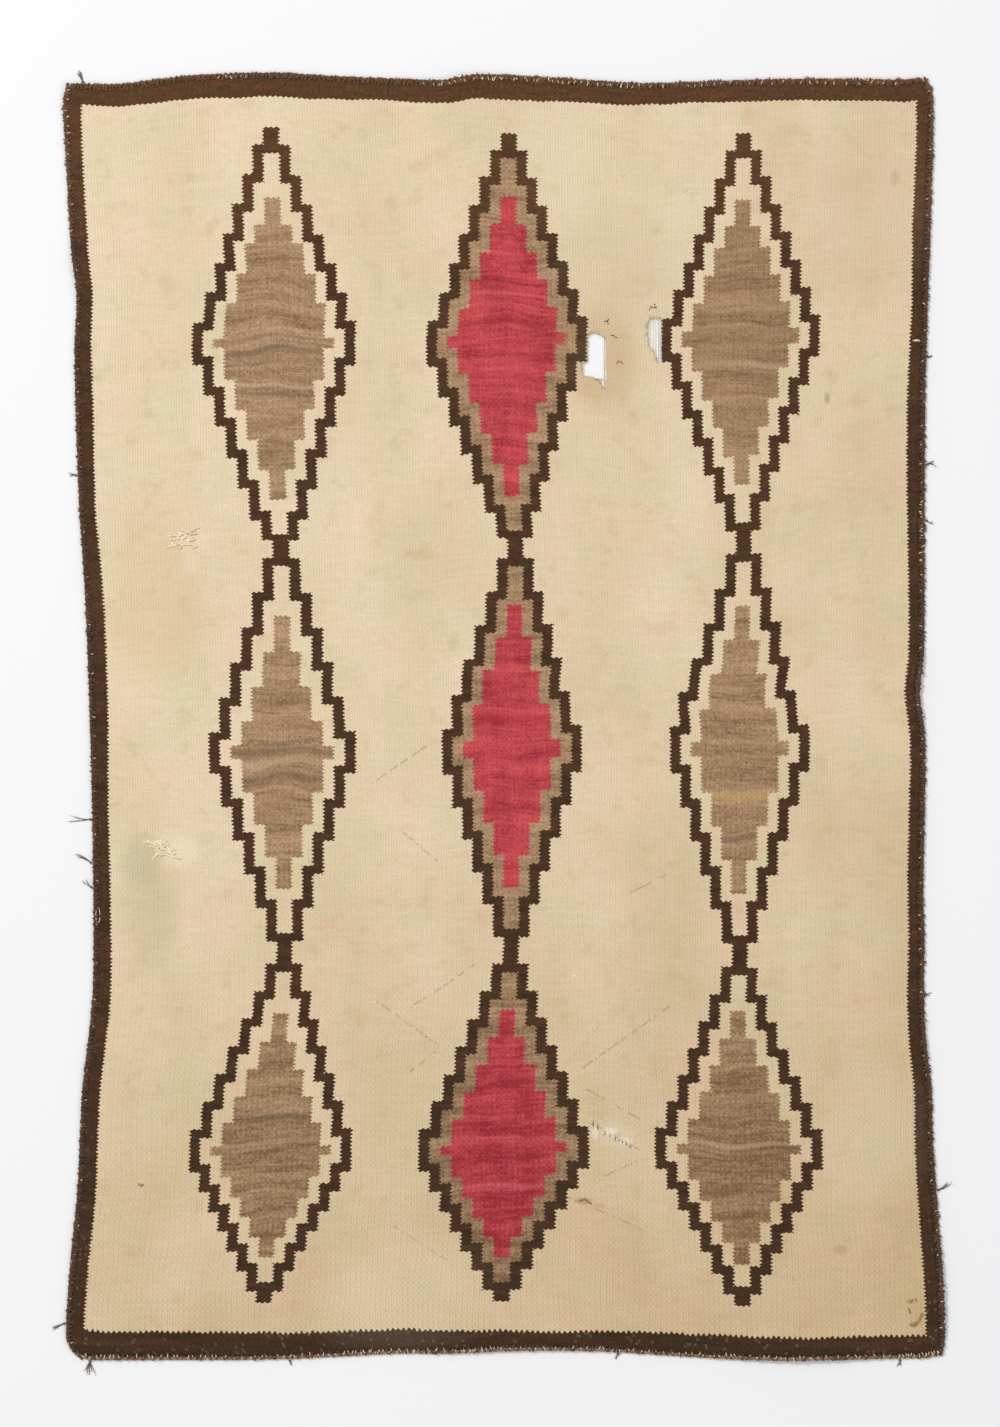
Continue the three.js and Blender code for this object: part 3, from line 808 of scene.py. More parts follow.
def web_mesh(thickness):
    """The closed sheet: an upper and an under layer of cells, joined round the rim."""
    columns, rows = WEB_CELLS
    u, v = np.meshgrid(np.linspace(0, 1, columns + 1), np.linspace(0, 1, rows + 1))
    x, y = on_web(u, v)
    floor = lift(x, y)
    # The sheet thins over the last few millimetres before its nearest edge
    rim = np.minimum.reduce([u, 1 - u, v * 1.5, (1 - v) * 1.5]) * 1200
    rounded = np.clip(rim / ROUNDED_RIM, 0, 1)
    top = floor + thickness * (0.8 + 0.2 * rounded) + pucker(x, y)
    under = floor + np.maximum(0, -0.4 * pucker(x, y) * rounded) * 0.5
    points = np.concatenate([np.stack([x, y, z], -1).reshape(-1, 3) for z in (top, under)])
    count = (columns + 1) * (rows + 1)
    index = np.arange(count).reshape(rows + 1, columns + 1)
    quads = np.stack([index[:-1, :-1], index[:-1, 1:], index[1:, 1:], index[1:, :-1]], -1).reshape(-1, 4)
    rim_loop = np.concatenate([index[0, :], index[1:, -1], index[-1, -2::-1], index[-2:0:-1, 0]])
    following = np.roll(rim_loop, -1)
    wall = np.stack([rim_loop, rim_loop + count, following + count, following], -1)
    mesh = bpy.data.meshes.new("woven_web")
    mesh.from_pydata(placed(points), [], np.concatenate([quads, quads[:, ::-1] + count, wall]).tolist())
    return mesh


def hole_cutter(hole, ragged, stray, depth):
    """A prism on a worn hole's outline, its edge made to stray raggedly between the outline's points."""
    outline = [Vector(p) for p in hole["outline"]]
    points = []
    for a, b in zip(outline, outline[1:] + outline[:1]):
        pieces = max(2, round((b - a).length / 2.6))
        aside = (b - a).orthogonal().normalized()
        for i in range(pieces):
            points.append(a.lerp(b, i / pieces) + aside * ragged.uniform(-stray, stray))
    rings = [[(hole["x"] + p.x, hole["y"] + p.y, z) for p in points] for z in (-depth, depth)]
    n = len(points)
    faces = [list(range(n)), list(range(2 * n - 1, n - 1, -1))]
    faces += [[i, n + i, n + (i + 1) % n, (i + 1) % n] for i in range(n)]
    mesh = bpy.data.meshes.new("worn_hole")
    mesh.from_pydata(placed(rings[0] + rings[1]), [], faces)
    bm = bmesh.new()
    bm.from_mesh(mesh)
    bmesh.ops.recalc_face_normals(bm, faces=bm.faces)
    bm.to_mesh(mesh)
    bm.free()
    cutter = bpy.data.objects.new("worn_hole", mesh)
    bpy.context.scene.collection.objects.link(cutter)
    return cutter


# Slits where single warps have parted, in cloth-side millimetres: middle and height
SLITS = table("x y high", [
    (129, 330, 8), (135, 325, 6), (146, 317, 7), (153, 314, 5), (161, 310, 6), (166, 307, 6),
    (171, 305, 5), (176, 302, 4), (182, 298, 4),
])


def slit_as_hole(slit):
    """A slit is a narrow pointed hole between two warps."""
    half = slit["high"] / 2
    outline = [(0, half), (0.75, half * 0.4), (0.75, -half * 0.4), (0, -half), (-0.75, -half * 0.4),
               (-0.75, half * 0.4)]
    return {"x": slit["x"], "y": slit["y"], "outline": outline}


def mark_cloth(mesh):
    """Gives each point its place in the cloth and on the chart, how deep the borders are there and
    where the diamonds' centres start."""
    count = len(mesh.vertices)
    points = np.empty(count * 3, np.float32)
    mesh.vertices.foreach_get("co", points)
    points = points.reshape(-1, 3).astype(float) / MM
    x, y = points[:, 0] - SHIFT[0], points[:, 1] - SHIFT[1]
    across, along, chart_x, chart_y = chart_place(x, y)
    for name, columns in (("cloth", (across, along, points[:, 2])), ("chart", (chart_x, chart_y, 0 * x))):
        values = np.stack(columns, -1).astype(np.float32).reshape(-1)
        mesh.attributes.new(name, "FLOAT_VECTOR", "POINT").data.foreach_set("vector", values)
    sides = [np.interp(along, SIDE_BORDERS["up"], SIDE_BORDERS[side]) for side in ("left", "right")]
    numbers = {
        "side_border": np.where(across < 0, *sides),
        "upper_border": read(UPPER_BORDER, "across", "height", across),
        "lower_border": read(LOWER_BORDER, "across", "height", across),
        "centre_start": centre_starts(chart_x, chart_y),
    }
    for name, values in numbers.items():
        mesh.attributes.new(name, "FLOAT", "POINT").data.foreach_set("value", values.astype(np.float32))


class RUG_OT_web(bpy.types.Operator):
    """Weave the web and wear its holes through"""

    bl_idname = "rug.web"
    bl_label = "Woven web"

    def execute(self, context):
        mesh = web_mesh(settings().sizes.thickness / MM)
        body = bpy.data.objects.new("woven_web_blank", mesh)
        context.scene.collection.objects.link(body)
        ragged = random.Random(11)
        cutters = [hole_cutter(hole, ragged, 0.9, 30) for hole in WORN_HOLES]
        cutters += [hole_cutter(slit_as_hole(slit), ragged, 0.15, 30) for slit in SLITS]
        group = bpy.data.collections.new("cutters")
        for cutter in cutters:
            group.objects.link(cutter)
        cut = body.modifiers.new("Worn through", "BOOLEAN")
        cut.operand_type = "COLLECTION"
        cut.collection = group
        cut.operation = "DIFFERENCE"
        cut.solver = "EXACT"
        worn = bpy.data.meshes.new_from_object(body.evaluated_get(context.evaluated_depsgraph_get()))
        for leftover in [body, *cutters]:
            bpy.data.objects.remove(leftover)
        bpy.data.collections.remove(group)
        if not worn.polygons:
            raise RuntimeError("the worn holes took the whole web away")
        mark_cloth(worn)
        worn.materials.clear()
        worn.materials.append(tapestry_wool())
        worn.shade_smooth()
        web = made_piece("woven_web", worn, "cream_wool", ["web"])
        return {"FINISHED"}


def plied_yarn():
    """Geometry nodes: twists plies round each line that they are given, and thins them to the ends."""
    inputs = {
        "Geometry": SHAPE, "Plies": "NodeSocketInt", "Yarn radius": NUMBER, "Ply radius": NUMBER,
        "Twist length": NUMBER, "Step": NUMBER, "Thinning": NUMBER, "Sides": "NodeSocketInt",
        "Material": "NodeSocketMaterial",
    }
    tree, given, result, add = new_group("Plied yarn", inputs, ("Geometry", SHAPE), "GeometryNodeTree")
    line = {"Curve": given["Geometry"], "Length": given["Step"]}
    line = add("GeometryNodeResampleCurve", line, mode="LENGTH")
    plies = {"Geometry": line, "Amount": given["Plies"]}
    plies = add("GeometryNodeDuplicateElements", plies, domain="SPLINE")
    number = plies.node.outputs["Duplicate Index"]
    parameter = add("GeometryNodeSplineParameter").node
    share = add(OVER, (number, given["Plies"]))
    turns = add(OVER, (parameter.outputs["Length"], given["Twist length"]))
    angle = add(TIMES, (add(PLUS, (turns, share)), math.tau))
    tangent = add("GeometryNodeInputTangent")
    aside = add(VECTOR, (tangent, (0, 0, 1)), operation="CROSS_PRODUCT")
    aside = add(VECTOR, (aside,), operation="NORMALIZE")
    over = add(VECTOR, (aside, tangent), operation="CROSS_PRODUCT")
    out = add(MINUS, (given["Yarn radius"], given["Ply radius"]))
    legs = []
    for direction, wave in ((aside, "COSINE"), (over, "SINE")):
        amount = add(TIMES, (add(MATH, (angle,), operation=wave), out))
        legs.append(add(VECTOR, {0: direction, "Scale": amount}, operation="SCALE"))
    offset = add(VECTOR, tuple(legs), operation="ADD")
    moved = add("GeometryNodeSetPosition", {"Geometry": plies, "Offset": offset})
    thickness = add(MINUS, (1.0, add(TIMES, (given["Thinning"], parameter.outputs["Factor"]))))
    ring = {"Resolution": given["Sides"], "Radius": given["Ply radius"]}
    ring = add("GeometryNodeCurvePrimitiveCircle", ring)
    tube = {"Curve": moved, "Profile Curve": ring, "Scale": thickness, "Fill Caps": True}
    tube = add("GeometryNodeCurveToMesh", tube)
    smooth = add("GeometryNodeSetShadeSmooth", {"Geometry": tube})
    real = add("GeometryNodeRealizeInstances", {"Geometry": smooth})
    finished = add("GeometryNodeSetMaterial", {"Geometry": real, "Material": given["Material"]})
    tree.links.new(finished, result)
    return tree


def run_nodes(name, source, tree, values):
    """The plain mesh that a geometry node tree makes of an object's data with these input values."""
    holder = bpy.data.objects.new(name + "_lines", source)
    bpy.context.scene.collection.objects.link(holder)
    modifier = holder.modifiers.new(tree.name, "NODES")
    modifier.node_group = tree
    sockets = {item.name: item.identifier for item in tree.interface.items_tree if item.in_out == "INPUT"}
    for title, value in values.items():
        modifier[sockets[title]] = value
    holder.data.update_tag()
    made = bpy.data.meshes.new_from_object(holder.evaluated_get(bpy.context.evaluated_depsgraph_get()))
    holder.modifiers.remove(modifier)
    bpy.data.objects.remove(holder)
    if not made.polygons:
        raise RuntimeError(f"{name} came out empty")
    made.name = name
    return made


def yarn_piece(
    name, slot, lines, material, yarn, ply, twist, plies=2, step=1.5, thinning=0.0, sides=6, replaced=()
):
    """A piece of plied yarn along lines of points in the tables' millimetres. The sizes are too."""
    curve = bpy.data.curves.new(name, "CURVE")
    curve.dimensions = "3D"
    for line in lines:
        spline = curve.splines.new("POLY")
        spline.points.add(len(line) - 1)
        for point, place in zip(spline.points, placed(line)):
            point.co = (*place, 1)
    tree = bpy.data.node_groups.get("Plied yarn") or plied_yarn()
    values = {
        "Plies": plies, "Yarn radius": yarn / 2 * MM, "Ply radius": ply / 2 * MM, "Twist length": twist * MM,
        "Step": step * MM, "Thinning": thinning, "Sides": sides, "Material": material,
    }
    made_piece(name, run_nodes(name, curve, tree, values), slot, replaced)


# How finely an edge is followed where things are set along it
EDGE_POINTS = 400


def edge_line(name, count, out, height):
    """A line beside the web's edge, `out` millimetres from it and at a height above its underside."""
    t = np.linspace(0, 1, count)
    far = 1.0 if name in ("right", "upper") else 0.0
    u, v = (np.full(count, far), t) if name in ("left", "right") else (t, np.full(count, far))
    x, y = on_web(u, v)
    step_x, step_y = np.gradient(x), np.gradient(y)
    size = np.hypot(step_x, step_y)
    turn = -1 if name in ("left", "upper") else 1
    out_x, out_y = turn * step_y / size, -turn * step_x / size
    z = lift(x, y) + height
    return np.stack([x + out_x * out, y + out_y * out, z], -1)


# The cords: the edge each lies along, its solid and slot, and how far it runs on past the web's corners
CORDS = table("side node slot runs_on", [
    ("left", "left_side_cord", "dark_brown_wool", (5, 5)),
    ("right", "right_side_cord", "dark_brown_wool", (5, 5)),
    ("lower", "lower_end_cord", "light_brown_wool", (-6, -2)),
    ("upper", "upper_end_cord", "dark_brown_wool", (-2, -3)),
])


class RUG_OT_cords(bpy.types.Operator):
    """Twist the cords along the four edges"""

    bl_idname = "rug.cords"
    bl_label = "Edge cords"

    def execute(self, context):
        wool, sizes = settings().colours, settings().sizes
        dark = spun_wool("Brown wool cord, twisted", wool.faded_brown, wool.dark_brown, bleached=True)
        worn = spun_wool("Worn brown wool cord, twisted", wool.worn_cord, wool.faded_brown)
        diameter = sizes.cord / MM
        for row in CORDS:
            line = edge_line(row["side"], 240, 0.3 + diameter / 2, diameter / 2)
            first, last = (line[0] - line[1]), (line[-1] - line[-2])
            line[0] += first / np.linalg.norm(first) * row["runs_on"][0]
            line[-1] += last / np.linalg.norm(last) * row["runs_on"][1]
            material = worn if row["side"] == "lower" else dark
            yarn_piece(
                row["node"] + "_plies", row["slot"], [line], material, diameter, diameter * 0.64,
                sizes.cord_twist / MM, replaced=[row["node"]],
            )
        return {"FINISHED"}


# Loose plies at the cords, as the solids have them: which cord, how far along it, the way they point
# and fan out in degrees, how far they reach, how many there are and by how many degrees they bend
FRAYS = table("name cord at heading fan reach plies curl", [
    ("fray_left_corner", "left", 45, 200, 16, 19, 3, 12),
    ("fray_left_low_a", "left", 669, 146, 12, 17, 2, -20),
    ("fray_left_low_b", "left", 704, 142, 14, 25, 3, 20),
    ("fray_left_low_c", "left", 766, 186, 8, 37, 2, -16),
    ("fray_left_high", "left", 1258, 170, 30, 8, 3, 10),
    ("fray_right_low_a", "right", 236, 22, 20, 19, 3, 18),
    ("fray_right_low_b", "right", 515, 14, 26, 7, 2, -16),
    ("fray_right_high_a", "right", 1193, -50, 16, 12, 2, 60),
    ("fray_right_high_b", "right", 1273, 30, 18, 13, 3, -40),
    ("fray_right_high_c", "right", 1427, 6, 24, 6, 2, 20),
    ("fray_upper_corner", "upper", 17, 108, 26, 17, 4, 10),
    ("fray_lower_corner", "lower", 6, 262, 58, 20, 5, 12),
    ("fray_lower_a", "lower", 292, 280, 24, 6, 2, 8),
    ("fray_lower_b", "lower", 761, 232, 20, 8, 2, 14),
    ("fray_lower_c", "lower", 1164, 268, 30, 8, 3, -12),
])
KNOT_RADIUS = 2.6
CORD_RADIUS = 2.5  # of the solids' cords
CORD_MIDDLE = 2.8  # from the web's edge to the middle of those cords
END_CORDS_START = {"lower": 7, "upper": 2}  # how far in from the web's corner those cords start


def loose_line(root, heading, reach, curl, rise=0.0, steps=8):
    """A loose ply's line from its root. It bends by `curl` degrees on its way and arches up by `rise`."""
    x, y, z = root
    line = [(x, y, z)]
    for i in range(steps):
        along = i / (steps - 1)
        angle = math.radians(heading + curl * along)
        x += math.cos(angle) * reach / steps
        y += math.sin(angle) * reach / steps
        line.append((x, y, z + rise * math.sin(math.pi * along)))
    return line


def beside_cord(row, out):
    """The place `out` millimetres beyond the middle of a fray's cord."""
    line = edge_line(row["cord"], EDGE_POINTS, CORD_MIDDLE + out, 0)
    if row["cord"] in ("left", "right"):
        return float(np.interp(row["at"], line[:, 1], line[:, 0])), float(row["at"])
    x = line[0, 0] + END_CORDS_START[row["cord"]] + row["at"]
    return float(x), float(np.interp(x, line[:, 0], line[:, 1]))


def fray_lines(row, ply, uneven):
    """A fray's knot and plies, and the fine fibres that come out of the plies' ends."""
    x, y = beside_cord(row, CORD_RADIUS + KNOT_RADIUS)
    # The knot is a coil of a little over two uneven turns
    coil = []
    for i in range(22):
        turn = math.tau * i / 9 + uneven.uniform(-0.2, 0.2)
        out = KNOT_RADIUS - ply * 0.75
        coil.append((x + out * math.cos(turn), y + out * math.sin(turn) * 0.85, ply * 0.55 + i * 0.1))
    plies, fibres = [coil], []
    for k in range(row["plies"]):
        place = k / (row["plies"] - 1) - 0.5
        reach = (KNOT_RADIUS + row["reach"]) * (1 - 0.14 * ((k * 2 + row["plies"]) % 3))
        heading, curl = row["heading"] + row["fan"] * place, row["curl"] * (1 - place)
        line = loose_line((x, y, ply * 0.55), heading, reach * 0.86, curl, uneven.uniform(0, 0.8))
        plies.append(line)
        for _ in range(4):
            start = line[uneven.randint(4, 8)]
            away = heading + curl + uneven.uniform(-34, 34)
            fibres.append(loose_line(start, away, min(6, reach * 0.3), uneven.uniform(-50, 50), 0.4, 5))
    return plies, fibres


class RUG_OT_frays(bpy.types.Operator):
    """Lay the loose plies that have come out of the cords"""

    bl_idname = "rug.frays"
    bl_label = "Loose plies"

    def execute(self, context):
        wool, ply = settings().colours, settings().sizes.ply / MM
        loose = spun_wool("Loose brown wool ply", wool.worn_cord, wool.brown)
        uneven = random.Random(5)
        fibres = []
        for row in FRAYS:
            plies, ends = fray_lines(row, ply, uneven)
            fibres += ends
            yarn_piece(
                row["name"] + "_plies", "light_brown_wool", plies, loose, ply, ply * 0.6, 4.2,
                step=0.7, thinning=0.45, sides=5, replaced=[row["name"]],
            )
        yarn_piece(
            "loose_fibres", "light_brown_wool", fibres, loose, 0.3, 0.3, 9,
            plies=1, step=1.0, thinning=0.5, sides=3,
        )
        return {"FINISHED"}


# Thick mending yarn over worn places: each stitch's middle from the mend's, its turn and its length
DARNS = {
    "darn_upper": {
        "middle": (-457, 1163),
        "stitches": table("x y turn length", [
            (-4, 12, 12, 40), (14, 17, 22, 26), (-8, 5, 8, 30), (7, -5, 0, 26), (-14, -6, 18, 30),
            (-4, -2, 78, 24), (5, 6, 62, 26),
        ]),
    },
    "darn_lower": {
        "middle": (-487, 721),
        "stitches": table("x y turn length", [
            (-9, 15, 4, 42), (-6, 8, -25, 38), (2, -2, -28, 42), (12, -8, -16, 36), (12, 2, -62, 26),
            (-10, 0, 70, 28), (0, 1, 48, 34),
        ]),
    },
}
SHORT_STITCHES = 16  # more of them, laid anyhow over each of those mends
# Small mends and knots in the web, drawn with short stitches: where, and how far they spread
SMALL_MENDS = table("x y spread stitches", [
    (163, 1742, 10, 6), (166, 1682, 7, 4), (496, 1257, 7, 7), (137, 1090, 7, 4), (103, 542, 2, 2),
    (190, 525, 2, 2), (592, 1450, 3, 3), (259, 1663, 2, 2), (137, 328, 13, 9), (164, 309, 19, 18),
])


def stitch_line(x, y, turn, length, top, yarn, bow):
    """One stitch over the web: it comes up out of it, bows aside a little and goes back in."""
    across, along = math.cos(math.radians(turn)), math.sin(math.radians(turn))
    line = []
    for i in range(11):
        t = i / 10
        off = (t - 0.5) * length
        aside = bow * math.sin(math.pi * t)
        height = top - yarn * 0.55 + yarn * 0.95 * min(1, math.sin(math.pi * t) * 2.2)
        line.append((x + across * off - along * aside, y + along * off + across * aside, height))
    return line


class RUG_OT_mends(bpy.types.Operator):
    """Stitch the darns and the small mends"""

    bl_idname = "rug.mends"
    bl_label = "Darns and mends"

    def execute(self, context):
        wool, sizes = settings().colours, settings().sizes
        yarn, top = sizes.darn / MM, sizes.thickness / MM
        mending = spun_wool("Thick cream mending yarn", linear("fbf0da"), linear("e0c9a2"))
        vary = random.Random(3).uniform
        for name, darn in DARNS.items():
            x, y = darn["middle"]
            lines = [
                stitch_line(x + s["x"], y + s["y"], s["turn"], s["length"], top, yarn, vary(-3, 3))
                for s in darn["stitches"]
            ]
            for _ in range(SHORT_STITCHES):
                place = x + vary(-15, 15), y + vary(-8, 15)
                turn, length = vary(-50, 30), vary(9, 17)
                lines.append(stitch_line(*place, turn, length, top + 0.3, yarn, vary(-3, 3)))
            yarn_piece(
                name + "_stitches", "cream_wool", lines, mending, yarn, yarn * 0.66, 10,
                step=1.1, replaced=[name],
            )
        lines = []
        for mend in SMALL_MENDS:
            for _ in range(mend["stitches"]):
                x = mend["x"] + vary(-1, 1) * mend["spread"]
                y = mend["y"] + vary(-1, 1) * mend["spread"] * 0.6
                lines.append(stitch_line(x, y, vary(-35, 35), vary(4, 10), top, 1.3, 0.9))
        # One small mend near the left edge is an open ring of yarn
        turns = np.linspace(0, 6, 26)
        lines.append([(-579 + 3 * math.cos(a), 629 + 11 * math.sin(a), top + 0.5) for a in turns])
        yarn_piece("small_mends", "cream_wool", lines, mending, 1.3, 0.8, 4, step=0.8, sides=5)
        return {"FINISHED"}


# Pale stitches of the selvage that show between the cords and the web, and small loops that stand on
# the cords: on which edge, over what share of its length, and how far apart
TICKS = table("side from to apart length", [
    ("lower", 0.0, 1.0, 9, 4.2),
    ("lower", 0.95, 1.0, 5, 6),
    ("lower", 0.3, 0.5, 11, 6),
    ("upper", 0.4, 0.97, 13, 5.4),
    ("upper", 0.17, 0.21, 8, 5),
    ("upper", 0.42, 0.66, 13, 6),
    ("left", 0.0, 1.0, 44, 3.4),
    ("left", 0.95, 1.0, 13, 4.6),
    ("right", 0.0, 1.0, 34, 3.4),
    ("right", 0.62, 0.67, 8, 5),
])
# Brown wool that roughens the cords: wisps and wrapping stitches that come up out of the border, lie
# over the cord and end beyond it
WISPS = table("side from to apart reach", [
    ("upper", 0.0, 1.0, 4, 4.8),
    ("upper", 0.36, 1.0, 8, 5.8),
    ("left", 0.0, 1.0, 5, 5),
    ("left", 0.92, 1.0, 9, 6.5),
    ("right", 0.0, 1.0, 4.5, 5.6),
    ("lower", 0.0, 1.0, 9, 4.6),
])
LOOPS = table("side from to apart size", [
    ("upper", 0.47, 0.97, 17, 2.6),
    ("upper", 0.9, 0.96, 7, 3.4),
    ("upper", 0.0, 0.47, 60, 2),
    ("left", 0.0, 0.03, 7, 2.8),
    ("left", 0.0, 1.0, 70, 1.8),
    ("right", 0.0, 1.0, 60, 2),
    ("lower", 0.0, 1.0, 55, 1.8),
])


def places_along(rows, vary):
    """Unevenly spaced places along the edges that rows give: the row, the place, and the ways out from
    the web and along its edge there."""
    for row in rows:
        lines = [edge_line(row["side"], EDGE_POINTS, out, 0) for out in (0, 1)]
        run = np.concatenate([[0], np.cumsum(np.linalg.norm(np.diff(lines[0], axis=0), axis=1))])
        here, end = row["from"] * run[-1], row["to"] * run[-1]
        while True:
            here += row["apart"] * vary(0.5, 1.5)
            if here > end:
                break
            spot, beyond = (np.array([np.interp(here, run, line[:, k]) for k in range(3)]) for line in lines)
            out = beyond - spot
            yield row, spot, out, np.array([-out[1], out[0], 0])


class RUG_OT_selvage(bpy.types.Operator):
    """Add the pale selvage stitches and the small loops on the cords"""

    bl_idname = "rug.selvage"
    bl_label = "Selvage stitches"

    def execute(self, context):
        wool, top = settings().colours, settings().sizes.thickness / MM
        pale = spun_wool("Bare cream warp", wool.bare_yarn, wool.aged_cream)
        vary = random.Random(8).uniform
        lines = []
        for row, spot, out, _ in places_along(TICKS, vary):
            heading = math.degrees(math.atan2(out[1], out[0])) + vary(-40, 40)
            middle = spot + out * vary(-1.6, 2.4)
            length = row["length"] * vary(0.4, 1.2)
            lines.append(stitch_line(middle[0], middle[1], heading, length, spot[2] + top + 1, 1.4, 0.3))
        yarn_piece("selvage_stitches", "cream_wool", lines, pale, 1.4, 1.4, 4, plies=1, step=1.1, sides=5)
        brown = spun_wool("Loose brown wool of the border", wool.faded_brown, wool.dark_brown, bleached=True)
        lines = []
        for row, spot, out, side in places_along(WISPS, vary):
            slant = side * vary(-9, 9)
            # Longer and shorter wisps follow one another in uneven runs
            run = (spot[0] + spot[1]) / 8
            reach = row["reach"] * (1 + 0.22 * math.sin(run + 2 * math.sin(run / 3.7)))
            start, end = -vary(0.5, 5), reach * vary(0.8, 1.15)
            crown, foot = vary(5.2, 6.2), vary(1, 4)
            places = (
                (start, top, 0), (0, top + 1, 0.3), (2.6, crown, 0.6), (5, crown - 1, 0.9), (end, foot, 1),
            )
            lines.append([tuple(spot + out * far + slant * t + UP * z) for far, z, t in places])
        yarn_piece(
            "border_wisps", "dark_brown_wool", lines, brown, 2.6, 2.6, 4,
            plies=1, step=2.2, thinning=0.25, sides=4,
        )
        lines = []
        for row, spot, out, side in places_along(LOOPS, vary):
            size = row["size"] * vary(0.6, 1.2)
            middle = spot + out * vary(3.4, 5)
            flat, lean = vary(0.5, 1), vary(-0.8, 0.8)
            turns = np.linspace(-0.6, math.pi + vary(0.2, 1.4), 12)
            lines.append([
                tuple(middle + side * size * (math.cos(a) + lean * math.sin(a)) * 0.7
                      + out * size * flat * math.sin(a) + UP * (4.6 - 0.6 * math.sin(a)))
                for a in turns
            ])
        yarn_piece(
            "cord_loops", "cream_wool", lines, pale, 1.1, 1.1, 4, plies=1, step=1.2, thinning=0.3, sides=4
        )
        return {"FINISHED"}


# Brown ends that stick up out of the web beside the holes, and along the worn upper edge
DARK_ENDS = table("x y ends", [
    (147, 1477, 3), (213, 1498, 6), (167, 1421, 3), (158, 1456, 3), (110, 1456, 2), (140, 1395, 2),
    (98, 1818, 6), (-520, 246, 1),
])


class RUG_OT_bare_warps(bpy.types.Operator):
    """Stretch the bare warps across the worn holes, with the broken weft round them"""

    bl_idname = "rug.bare_warps"
    bl_label = "Bare warps and broken weft"

    def execute(self, context):
        wool, top = settings().colours, settings().sizes.thickness / MM
        pale = spun_wool("Bare handspun warp", linear("f7f3ec"), wool.bare_yarn)
        vary = random.Random(21).uniform
        warps, wefts = [], []
        for hole in WORN_HOLES:
            ups = [y for _, y in hole["outline"]]
            for across in hole["warps"]:
                x, low, high = hole["x"] + across, hole["y"] + min(ups) - 3, hole["y"] + max(ups) + 3
                sag = vary(-0.7, 0.7)
                warps.append([
                    (x + sag * math.sin(math.pi * t), low + (high - low) * t, top * 0.5)
                    for t in np.linspace(0, 1, 14)
                ])
            outline = hole["outline"]
            middle = np.mean(outline, axis=0)
            for (ax, ay), (bx, by) in zip(outline, outline[1:] + outline[:1]):
                for _ in range(max(1, round(math.hypot(bx - ax, by - ay) / 1.2))):
                    t = vary(0, 1)
                    px, py = ax + (bx - ax) * t, ay + (by - ay) * t
                    inward, back = (0, 1.5) if px < middle[0] else (180, -1.5)
                    root = (hole["x"] + px - back, hole["y"] + py, vary(0.8, 3))
                    heading, reach = inward + vary(-30, 30), vary(3, 6.5)
                    wefts.append(loose_line(root, heading, reach, vary(-60, 60), 0.4, 6))
        yarn_piece("bare_warps", "cream_wool", warps, pale, 1.5, 0.95, 4, step=1.0)
        yarn_piece("broken_weft", "cream_wool", wefts, pale, 0.7, 0.45, 5, step=0.9, thinning=0.6, sides=3)
        dark = spun_wool("Broken brown weft", wool.brown, wool.dark_brown)
        ends = []
        for row in DARK_ENDS:
            for _ in range(row["ends"]):
                x, y = row["x"] + vary(-3, 3), row["y"] + vary(-2.5, 2.5)
                heading, reach = vary(0, 360), vary(3, 6)
                ends.append(loose_line((x, y, top + 0.3), heading, reach, vary(-90, 90), 0.8, 6))
        yarn_piece("dark_ends", "dark_brown_wool", ends, dark, 1.1, 0.7, 5, step=0.7, thinning=0.4, sides=4)
        return {"FINISHED"}


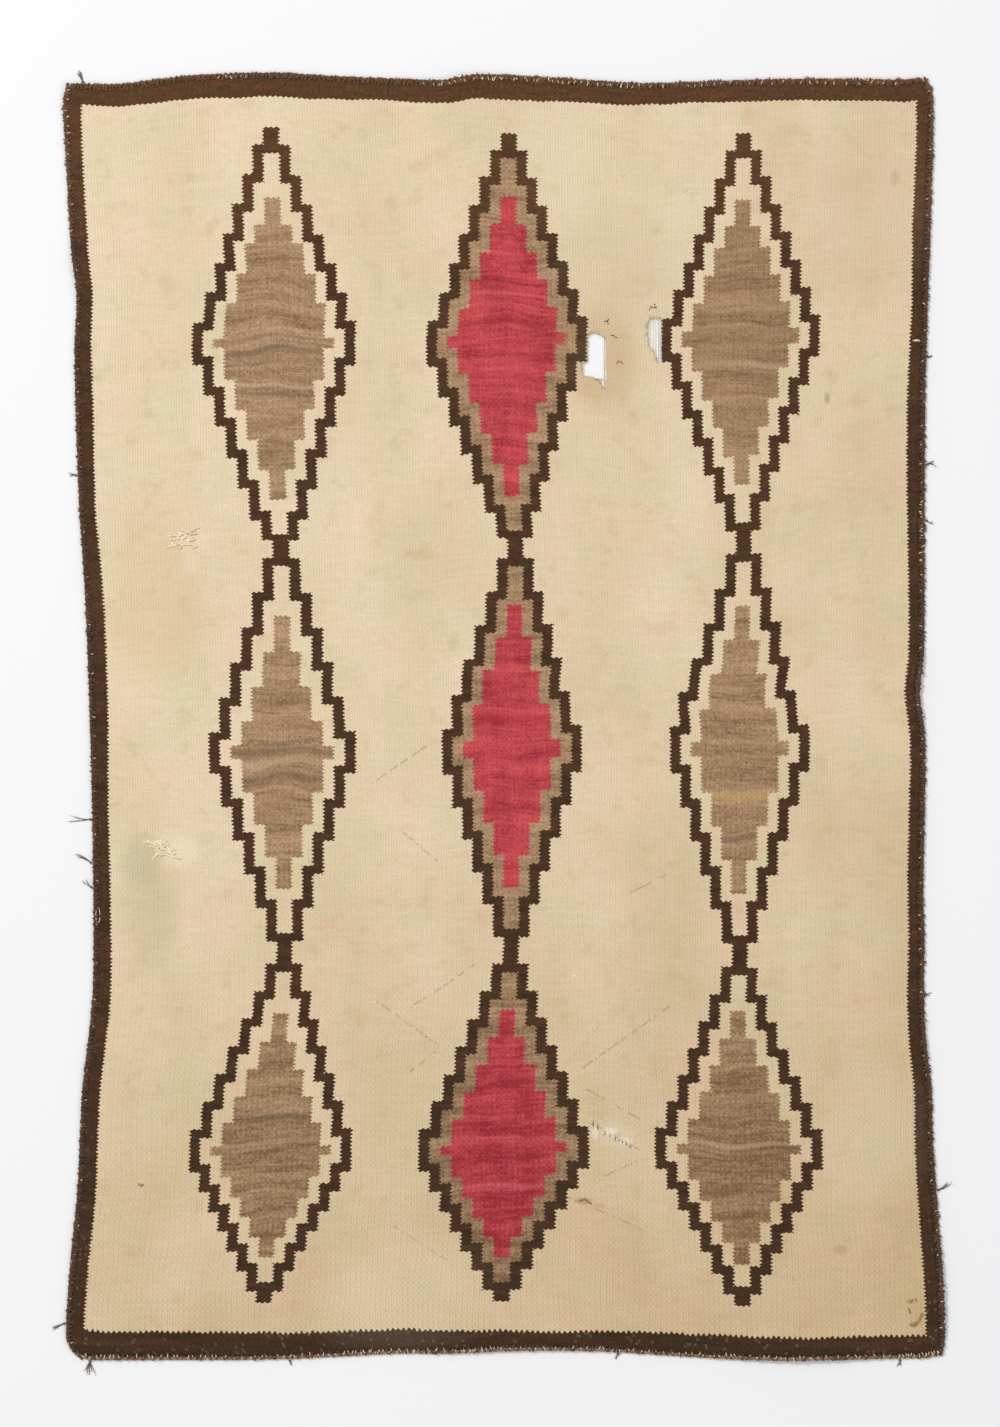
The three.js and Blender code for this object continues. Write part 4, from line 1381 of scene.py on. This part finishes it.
class RUG_OT_stage(bpy.types.Operator):
    """Lay the pale floor, hang the lights and set up the camera"""

    bl_idname = "rug.stage"
    bl_label = "Floor, lights and camera"

    def execute(self, context):
        scene = context.scene
        scene.view_settings.view_transform = "Standard"
        mesh = bpy.data.meshes.new("floor")
        half = 9.0
        corners = [(-half, -half, 0), (half, -half, 0), (half, half, 0), (-half, half, 0)]
        mesh.from_pydata(corners, [], [(0, 1, 2, 3)])
        floor = bpy.data.objects.new("floor", mesh)
        scene.collection.objects.link(floor)
        paint = bpy.data.materials.new("Matt white paper")
        paint.use_nodes = True
        surface = paint.node_tree.nodes["Principled BSDF"]
        surface.inputs["Base Color"].default_value = settings().colours.floor
        surface.inputs["Roughness"].default_value = 1.0
        surface.inputs["Specular IOR Level"].default_value = 0.0
        mesh.materials.append(paint)
        floor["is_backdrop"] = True

        # The photograph's frame: how much of the floor it covers, and the point at its middle
        frame_height = 2.0406
        middle = placed([(-4.3, 917.3, 0)])[0]
        distance = 7.0
        camera = bpy.data.objects.new("camera", bpy.data.cameras.new("camera"))
        camera.data.sensor_width = 36
        camera.data.lens = 36 * distance / frame_height
        camera.location = (middle[0], middle[1], distance)
        camera.data.clip_end = 50
        scene.collection.objects.link(camera)
        scene.camera = camera

        world = bpy.data.worlds.new("studio")
        world.use_nodes = True
        world.node_tree.nodes["Background"].inputs["Color"].default_value = linear("f5f4f4")
        world.node_tree.nodes["Background"].inputs["Strength"].default_value = 0.6
        scene.world = world
        for name, place, size, power in (
            ("key", (-4.6, 3.8, 7.6), 2.4, 460),
            ("fill", (5.0, -3.4, 7.0), 4.0, 110),
        ):
            light = bpy.data.objects.new(name, bpy.data.lights.new(name, "AREA"))
            light.data.size = size
            light.data.energy = power
            light.location = place
            aim = Vector((0, 0, 0)) - Vector(place)
            light.rotation_euler = aim.to_track_quat("-Z", "Y").to_euler()
            scene.collection.objects.link(light)
        return {"FINISHED"}


class RUG_PT_panel(bpy.types.Panel):
    """The rug's steps and settings in the sidebar"""

    bl_label = "Navajo rug"
    bl_idname = "RUG_PT_panel"
    bl_space_type = "VIEW_3D"
    bl_region_type = "UI"
    bl_category = "Rug"

    def draw(self, context):
        for step in STEPS:
            self.layout.operator(step.bl_idname)
        for group in (context.scene.rug_settings.sizes, context.scene.rug_settings.colours):
            for name in group.__annotations__:
                self.layout.prop(group, name)


STEPS = [
    RUG_OT_stage, RUG_OT_web, RUG_OT_cords, RUG_OT_frays, RUG_OT_mends, RUG_OT_selvage, RUG_OT_bare_warps,
]
CLASSES = [RugSizes, RugColours, RugSettings, *STEPS, RUG_PT_panel]


def register():
    for entry in CLASSES:
        bpy.utils.register_class(entry)
    bpy.types.Scene.rug_settings = bpy.props.PointerProperty(type=RugSettings)


def unregister():
    del bpy.types.Scene.rug_settings
    for entry in reversed(CLASSES):
        bpy.utils.unregister_class(entry)


def main():
    register()
    bpy.ops.rug.stage()
    bpy.ops.rug.web()
    bpy.ops.rug.cords()
    bpy.ops.rug.frays()
    bpy.ops.rug.mends()
    bpy.ops.rug.selvage()
    bpy.ops.rug.bare_warps()
    boxes = {"cad": CAD_BOX, "visual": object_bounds()}
    {name: [list(corner) for corner in box] for name, box in boxes.items()}


if __name__ == "__main__":
    main()
